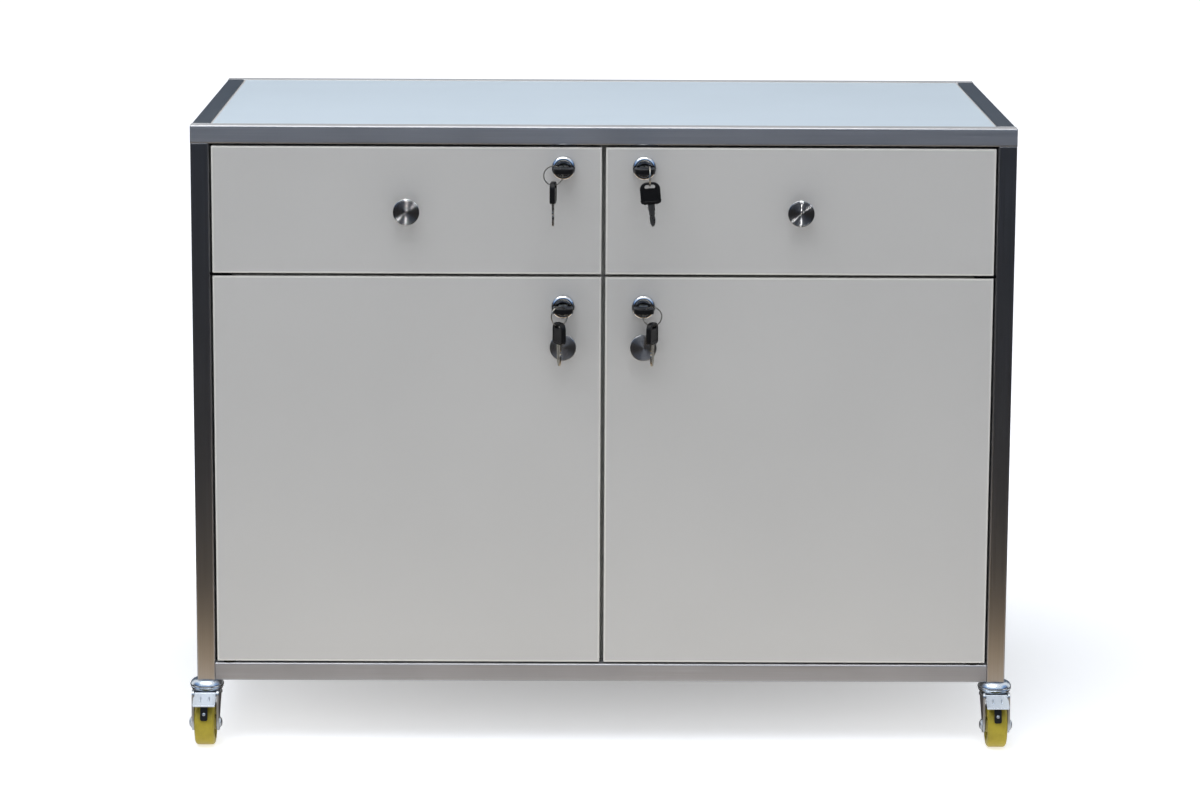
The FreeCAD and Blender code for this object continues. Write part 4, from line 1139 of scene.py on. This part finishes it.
def gradient(tree, distance, stops):
    """Give the colour at a distance, from colours at some distances."""
    first, last = stops[0][0], stops[-1][0]
    ramp = shade(tree, "ShaderNodeValToRGB", {"Fac": spread(tree, distance, 0.0, 1.0, first, last)})
    elements = ramp.color_ramp.elements
    elements[0].color = (*stops[0][1], 1.0)
    elements[1].color = (*stops[-1][1], 1.0)
    for at, tint in stops[1:-1]:
        elements.new((at - first) / (last - first)).color = (*tint, 1.0)
    return ramp.outputs["Color"]


class CABINET_OT_stage(bpy.types.Operator):
    """Set up the floor, the light and the camera"""

    bl_idname = "cabinet.stage"
    bl_label = "Stage"

    reach = 12.0
    lamp_size = (3.2, 2.2)
    lamp_tint = (0.97, 0.985, 1.0)
    lamp_place = (-0.6, -1.2, 3.4)
    lamp_target = (0.0, 0.1, 0.35)

    def execute(self, context):
        stage = context.scene.cabinet_stage
        context.scene.view_settings.view_transform = "Standard"
        self.world(context, stage)
        self.floor()
        self.cards()
        self.knob_cards(stage)
        self.lamps(stage)
        self.camera(context, stage)
        return {"FINISHED"}

    def world(self, context, stage):
        """Light from all round, cooler from above, before a white background."""
        world = bpy.data.worlds.new("studio")
        context.scene.world = world
        world.use_nodes = True
        tree = world.node_tree
        output = tree.nodes["World Output"]
        tree.nodes.remove(tree.nodes["Background"])
        heading = shade(tree, "ShaderNodeTexCoord")
        split = shade(tree, "ShaderNodeSeparateXYZ", {"Vector": heading.outputs["Generated"]})
        below, above = (0.95, 0.90, 0.82), (0.88, 0.94, 1.0)
        tint = gradient(tree, split.outputs["Z"], ((-1.0, below), (1.0, above)))
        light = shade(tree, "ShaderNodeBackground", {"Color": tint, "Strength": stage.sky_light})
        backdrop = shade(tree, "ShaderNodeBackground", {"Color": WHITE, "Strength": 1.0})
        inputs = {"Fac": seen_directly(tree), 1: light.outputs[0], 2: backdrop.outputs[0]}
        mixed = shade(tree, "ShaderNodeMixShader", inputs)
        fill(tree, output, {"Surface": mixed.outputs[0]})

    def floor(self):
        """Lay a pale floor that keeps the cabinet's shadow and deepens it with painted shadow."""
        part = bmesh.new()
        bmesh.ops.create_grid(part, x_segments=1, y_segments=1, size=self.reach)
        floor = put_in_scene("studio_floor", part)
        made, tree, shader = blank("studio_floor")
        tree.nodes.remove(shader)
        # Painted shadow: near the cabinet the floor glows less to the camera, and the cooler albedo
        # it shows tints that shadow; away from it the floor glows more and lights the cabinet less
        shadow_shift, shadow_squash = (-0.03, -0.3, 0.0), (1.0, 1.5, 1.0)
        inputs = {"Vector": object_place(tree), "Location": shadow_shift, "Scale": shadow_squash}
        around = shade(tree, "ShaderNodeMapping", inputs).outputs["Vector"]
        far = shade(tree, "ShaderNodeVectorMath", {0: around}, operation="LENGTH").outputs["Value"]
        seen = spread(tree, far, 0.27, 0.76, 0.0, 1.1)
        shadow, near, away = (0.0, 0.0, 0.0), (0.82, 0.76, 0.66), (0.12, 0.11, 0.10)
        stops = ((0.0, shadow), (0.6, shadow), (0.8, near), (1.8, away), (2.0, away))
        lent = gradient(tree, far, stops)
        lending, showing = (0.8, 0.8, 0.8, 1.0), (0.74, 0.76, 0.81, 1.0)
        sides = []
        for albedo, tint, strength in ((lending, lent, 1.0), (showing, WHITE, seen)):
            paint = shade(tree, "ShaderNodeBsdfDiffuse", {"Color": albedo})
            glow = shade(tree, "ShaderNodeEmission", {"Color": tint, "Strength": strength})
            added = shade(tree, "ShaderNodeAddShader", {0: paint.outputs[0], 1: glow.outputs[0]})
            sides.append(added.outputs[0])
        inputs = {"Fac": seen_directly(tree), 1: sides[0], 2: sides[1]}
        mixed = shade(tree, "ShaderNodeMixShader", inputs)
        fill(tree, tree.nodes["Material Output"], {"Surface": mixed.outputs[0]})
        floor.data.materials.append(made)

    def cards(self):
        """Stand cards all round that only reflections show: tan ground with painted shadow under
        the cabinet, dark walls, blue sky.
        """
        dark, haze, sky = (0.030, 0.030, 0.032), (0.20, 0.36, 0.70), (0.52, 0.75, 1.0)
        # The ground card is dark brown under and behind the cabinet, a painted shadow of it for the
        # reflections; in front it is white, then tan, then dark
        ground = (
            (-0.20, (0.050, 0.036, 0.026)), (-0.25, (1.0, 0.99, 0.99)),
            (-0.36, (1.0, 0.97, 0.95)), (-0.45, (0.84, 0.63, 0.40)),
            (-0.60, (0.48, 0.33, 0.17)), (-0.74, (0.050, 0.045, 0.040)), (-1.50, dark),
        )
        reach, near, rear, strip = self.reach, -8.0, 3.0, 1.1
        under, over, thick = 0.003, 0.004, 0.01
        front_top, side_top, back_half, back_y, back_top = 6.0, 14.0, 4.0, 4.0, 2.6
        front = ((0.0, dark), (1.4, dark), (2.8, haze), (front_top, sky))
        sides = ((0.0, dark), (4.0, dark), (7.0, haze), (side_top, sky))
        back = ((0.0, (0.06, 0.085, 0.125)), (3.0, (0.08, 0.11, 0.15)))
        beside = ((near, dark), (rear, dark))
        self.card("ground_card", (-strip, near, under), (strip, rear, over), "Y", ground)
        self.card("ground_left_card", (-reach, near, under), (-strip, rear, over), "Y", beside)
        self.card("ground_right_card", (strip, near, under), (reach, rear, over), "Y", beside)
        self.card("front_card", (-reach, near - thick, 0.0), (reach, near, front_top), "Z", front)
        self.card("left_card", (-reach - thick, near, 0.0), (-reach, rear, side_top), "Z", sides)
        self.card("right_card", (reach, near, 0.0), (reach + thick, rear, side_top), "Z", sides)
        back_low, back_high = (-back_half, back_y - thick, 0.0), (back_half, back_y, back_top)
        self.card("back_card", back_low, back_high, "Z", back)

    def knob_cards(self, stage):
        """Hang small bright cards that only the drawer knobs show, each as a streak."""
        lean, away = 0.26, 5.0
        upright = math.sqrt(1 - lean ** 2)
        half = Vector((0.05, 0.005, 0.05))
        stops = ((-1.0, WHITE[:3]), (1.0, WHITE[:3]))
        for side in SIDES:
            at = middle_of(f"drawer_knob_{side}")
            to_camera = (Vector(stage.camera_place) - at).normalized()
            for number, (heading, strength) in enumerate(((90.0, 2200.0), (41.0, 1500.0))):
                angle = math.radians(heading)
                tilted = Vector((lean * math.cos(angle), -upright, lean * math.sin(angle)))
                place = at + away * (2 * tilted.dot(to_camera) * tilted - to_camera)
                name = f"knob_{side}_card_{number}"
                card = self.card(name, place - half, place + half, "X", stops, strength)
                receivers = bpy.data.collections.new(f"knob_{side}_receivers_{number}")
                receivers.objects.link(bpy.data.objects[f"drawer_knob_{side}_spun"])
                card.light_linking.receiver_collection = receivers

    def card(self, name, low, high, axis, stops, strength=1.0):
        """Set up one card, its colour given at places along an axis."""
        card = put_in_scene(name, block(low, high))
        made, tree, shader = blank(name)
        split = shade(tree, "ShaderNodeSeparateXYZ", {"Vector": object_place(tree)})
        tint = gradient(tree, split.outputs[axis], stops)
        glow = shade(tree, "ShaderNodeEmission", {"Color": tint, "Strength": strength})
        fill(tree, tree.nodes["Material Output"], {"Surface": glow.outputs[0]})
        tree.nodes.remove(shader)
        card.data.materials.append(made)
        card.visible_camera = False
        card.visible_diffuse = False
        card.visible_shadow = False
        return card

    def lamps(self, stage):
        """Hang a large soft lamp above and in front."""
        lamp = bpy.data.lights.new("overhead_lamp", "AREA")
        lamp.shape = "RECTANGLE"
        lamp.size, lamp.size_y = self.lamp_size
        lamp.energy = stage.lamp_power
        lamp.color = self.lamp_tint
        hung = bpy.data.objects.new("overhead_lamp", lamp)
        hung.location = self.lamp_place
        aim = Vector(self.lamp_target) - hung.location
        hung.rotation_mode = "QUATERNION"
        hung.rotation_quaternion = aim.to_track_quat("-Z", "Y")
        bpy.context.scene.collection.objects.link(hung)

    def camera(self, context, stage):
        """Stand the camera where the photograph was taken."""
        pitch, yaw, roll = stage.camera_pitch, stage.camera_yaw, stage.camera_roll
        level = math.cos(pitch)
        ahead = Vector((math.sin(yaw) * level, math.cos(yaw) * level, -math.sin(pitch)))
        right = Vector((math.cos(yaw), -math.sin(yaw), 0.0))
        up = right.cross(ahead)
        leaning_right = right * math.cos(roll) - up * math.sin(roll)
        leaning_up = right * math.sin(roll) + up * math.cos(roll)
        data = bpy.data.cameras.new("photo_camera")
        data.lens = stage.camera_lens
        data.clip_start, data.clip_end = 0.05, 100.0
        camera = bpy.data.objects.new("photo_camera", data)
        turn = Matrix((leaning_right, leaning_up, -ahead)).transposed()
        camera.matrix_world = Matrix.Translation(stage.camera_place) @ turn.to_4x4()
        context.scene.collection.objects.link(camera)
        context.scene.camera = camera


# Add-on

BUILDERS = (
    CABINET_OT_tubes,
    CABINET_OT_boards,
    CABINET_OT_knobs,
    CABINET_OT_locks,
    CABINET_OT_keys,
    CABINET_OT_castors,
    CABINET_OT_inner,
    CABINET_OT_stage,
)


class CABINET_PT_builders(bpy.types.Panel):
    """List the steps that dress the cabinet"""

    bl_idname = "CABINET_PT_builders"
    bl_label = "Medical Cabinet"
    bl_space_type = "VIEW_3D"
    bl_region_type = "UI"
    bl_category = "Cabinet"

    def draw(self, context):
        for builder in BUILDERS:
            self.layout.operator(builder.bl_idname)
        scene = context.scene
        for settings in (scene.cabinet_sizes, scene.cabinet_finishes, scene.cabinet_stage):
            column = self.layout.column(align=True)
            for name in settings.__annotations__:
                column.prop(settings, name)


CLASSES = (CabinetSizes, CabinetFinishes, CabinetStage, *BUILDERS, CABINET_PT_builders)


def register():
    """Add the settings, the steps and the panel."""
    for made in CLASSES:
        bpy.utils.register_class(made)
    bpy.types.Scene.cabinet_sizes = bpy.props.PointerProperty(type=CabinetSizes)
    bpy.types.Scene.cabinet_finishes = bpy.props.PointerProperty(type=CabinetFinishes)
    bpy.types.Scene.cabinet_stage = bpy.props.PointerProperty(type=CabinetStage)


def unregister():
    """Take the panel, the steps and the settings away again."""
    del bpy.types.Scene.cabinet_stage
    del bpy.types.Scene.cabinet_finishes
    del bpy.types.Scene.cabinet_sizes
    for made in reversed(CLASSES):
        bpy.utils.unregister_class(made)


def main():
    """Dress the cabinet step by step."""
    register()
    bpy.ops.cabinet.tubes()
    bpy.ops.cabinet.boards()
    bpy.ops.cabinet.knobs()
    bpy.ops.cabinet.locks()
    bpy.ops.cabinet.keys()
    bpy.ops.cabinet.castors()
    bpy.ops.cabinet.inner()
    bpy.ops.cabinet.stage()


if __name__ == "__main__":
    main()
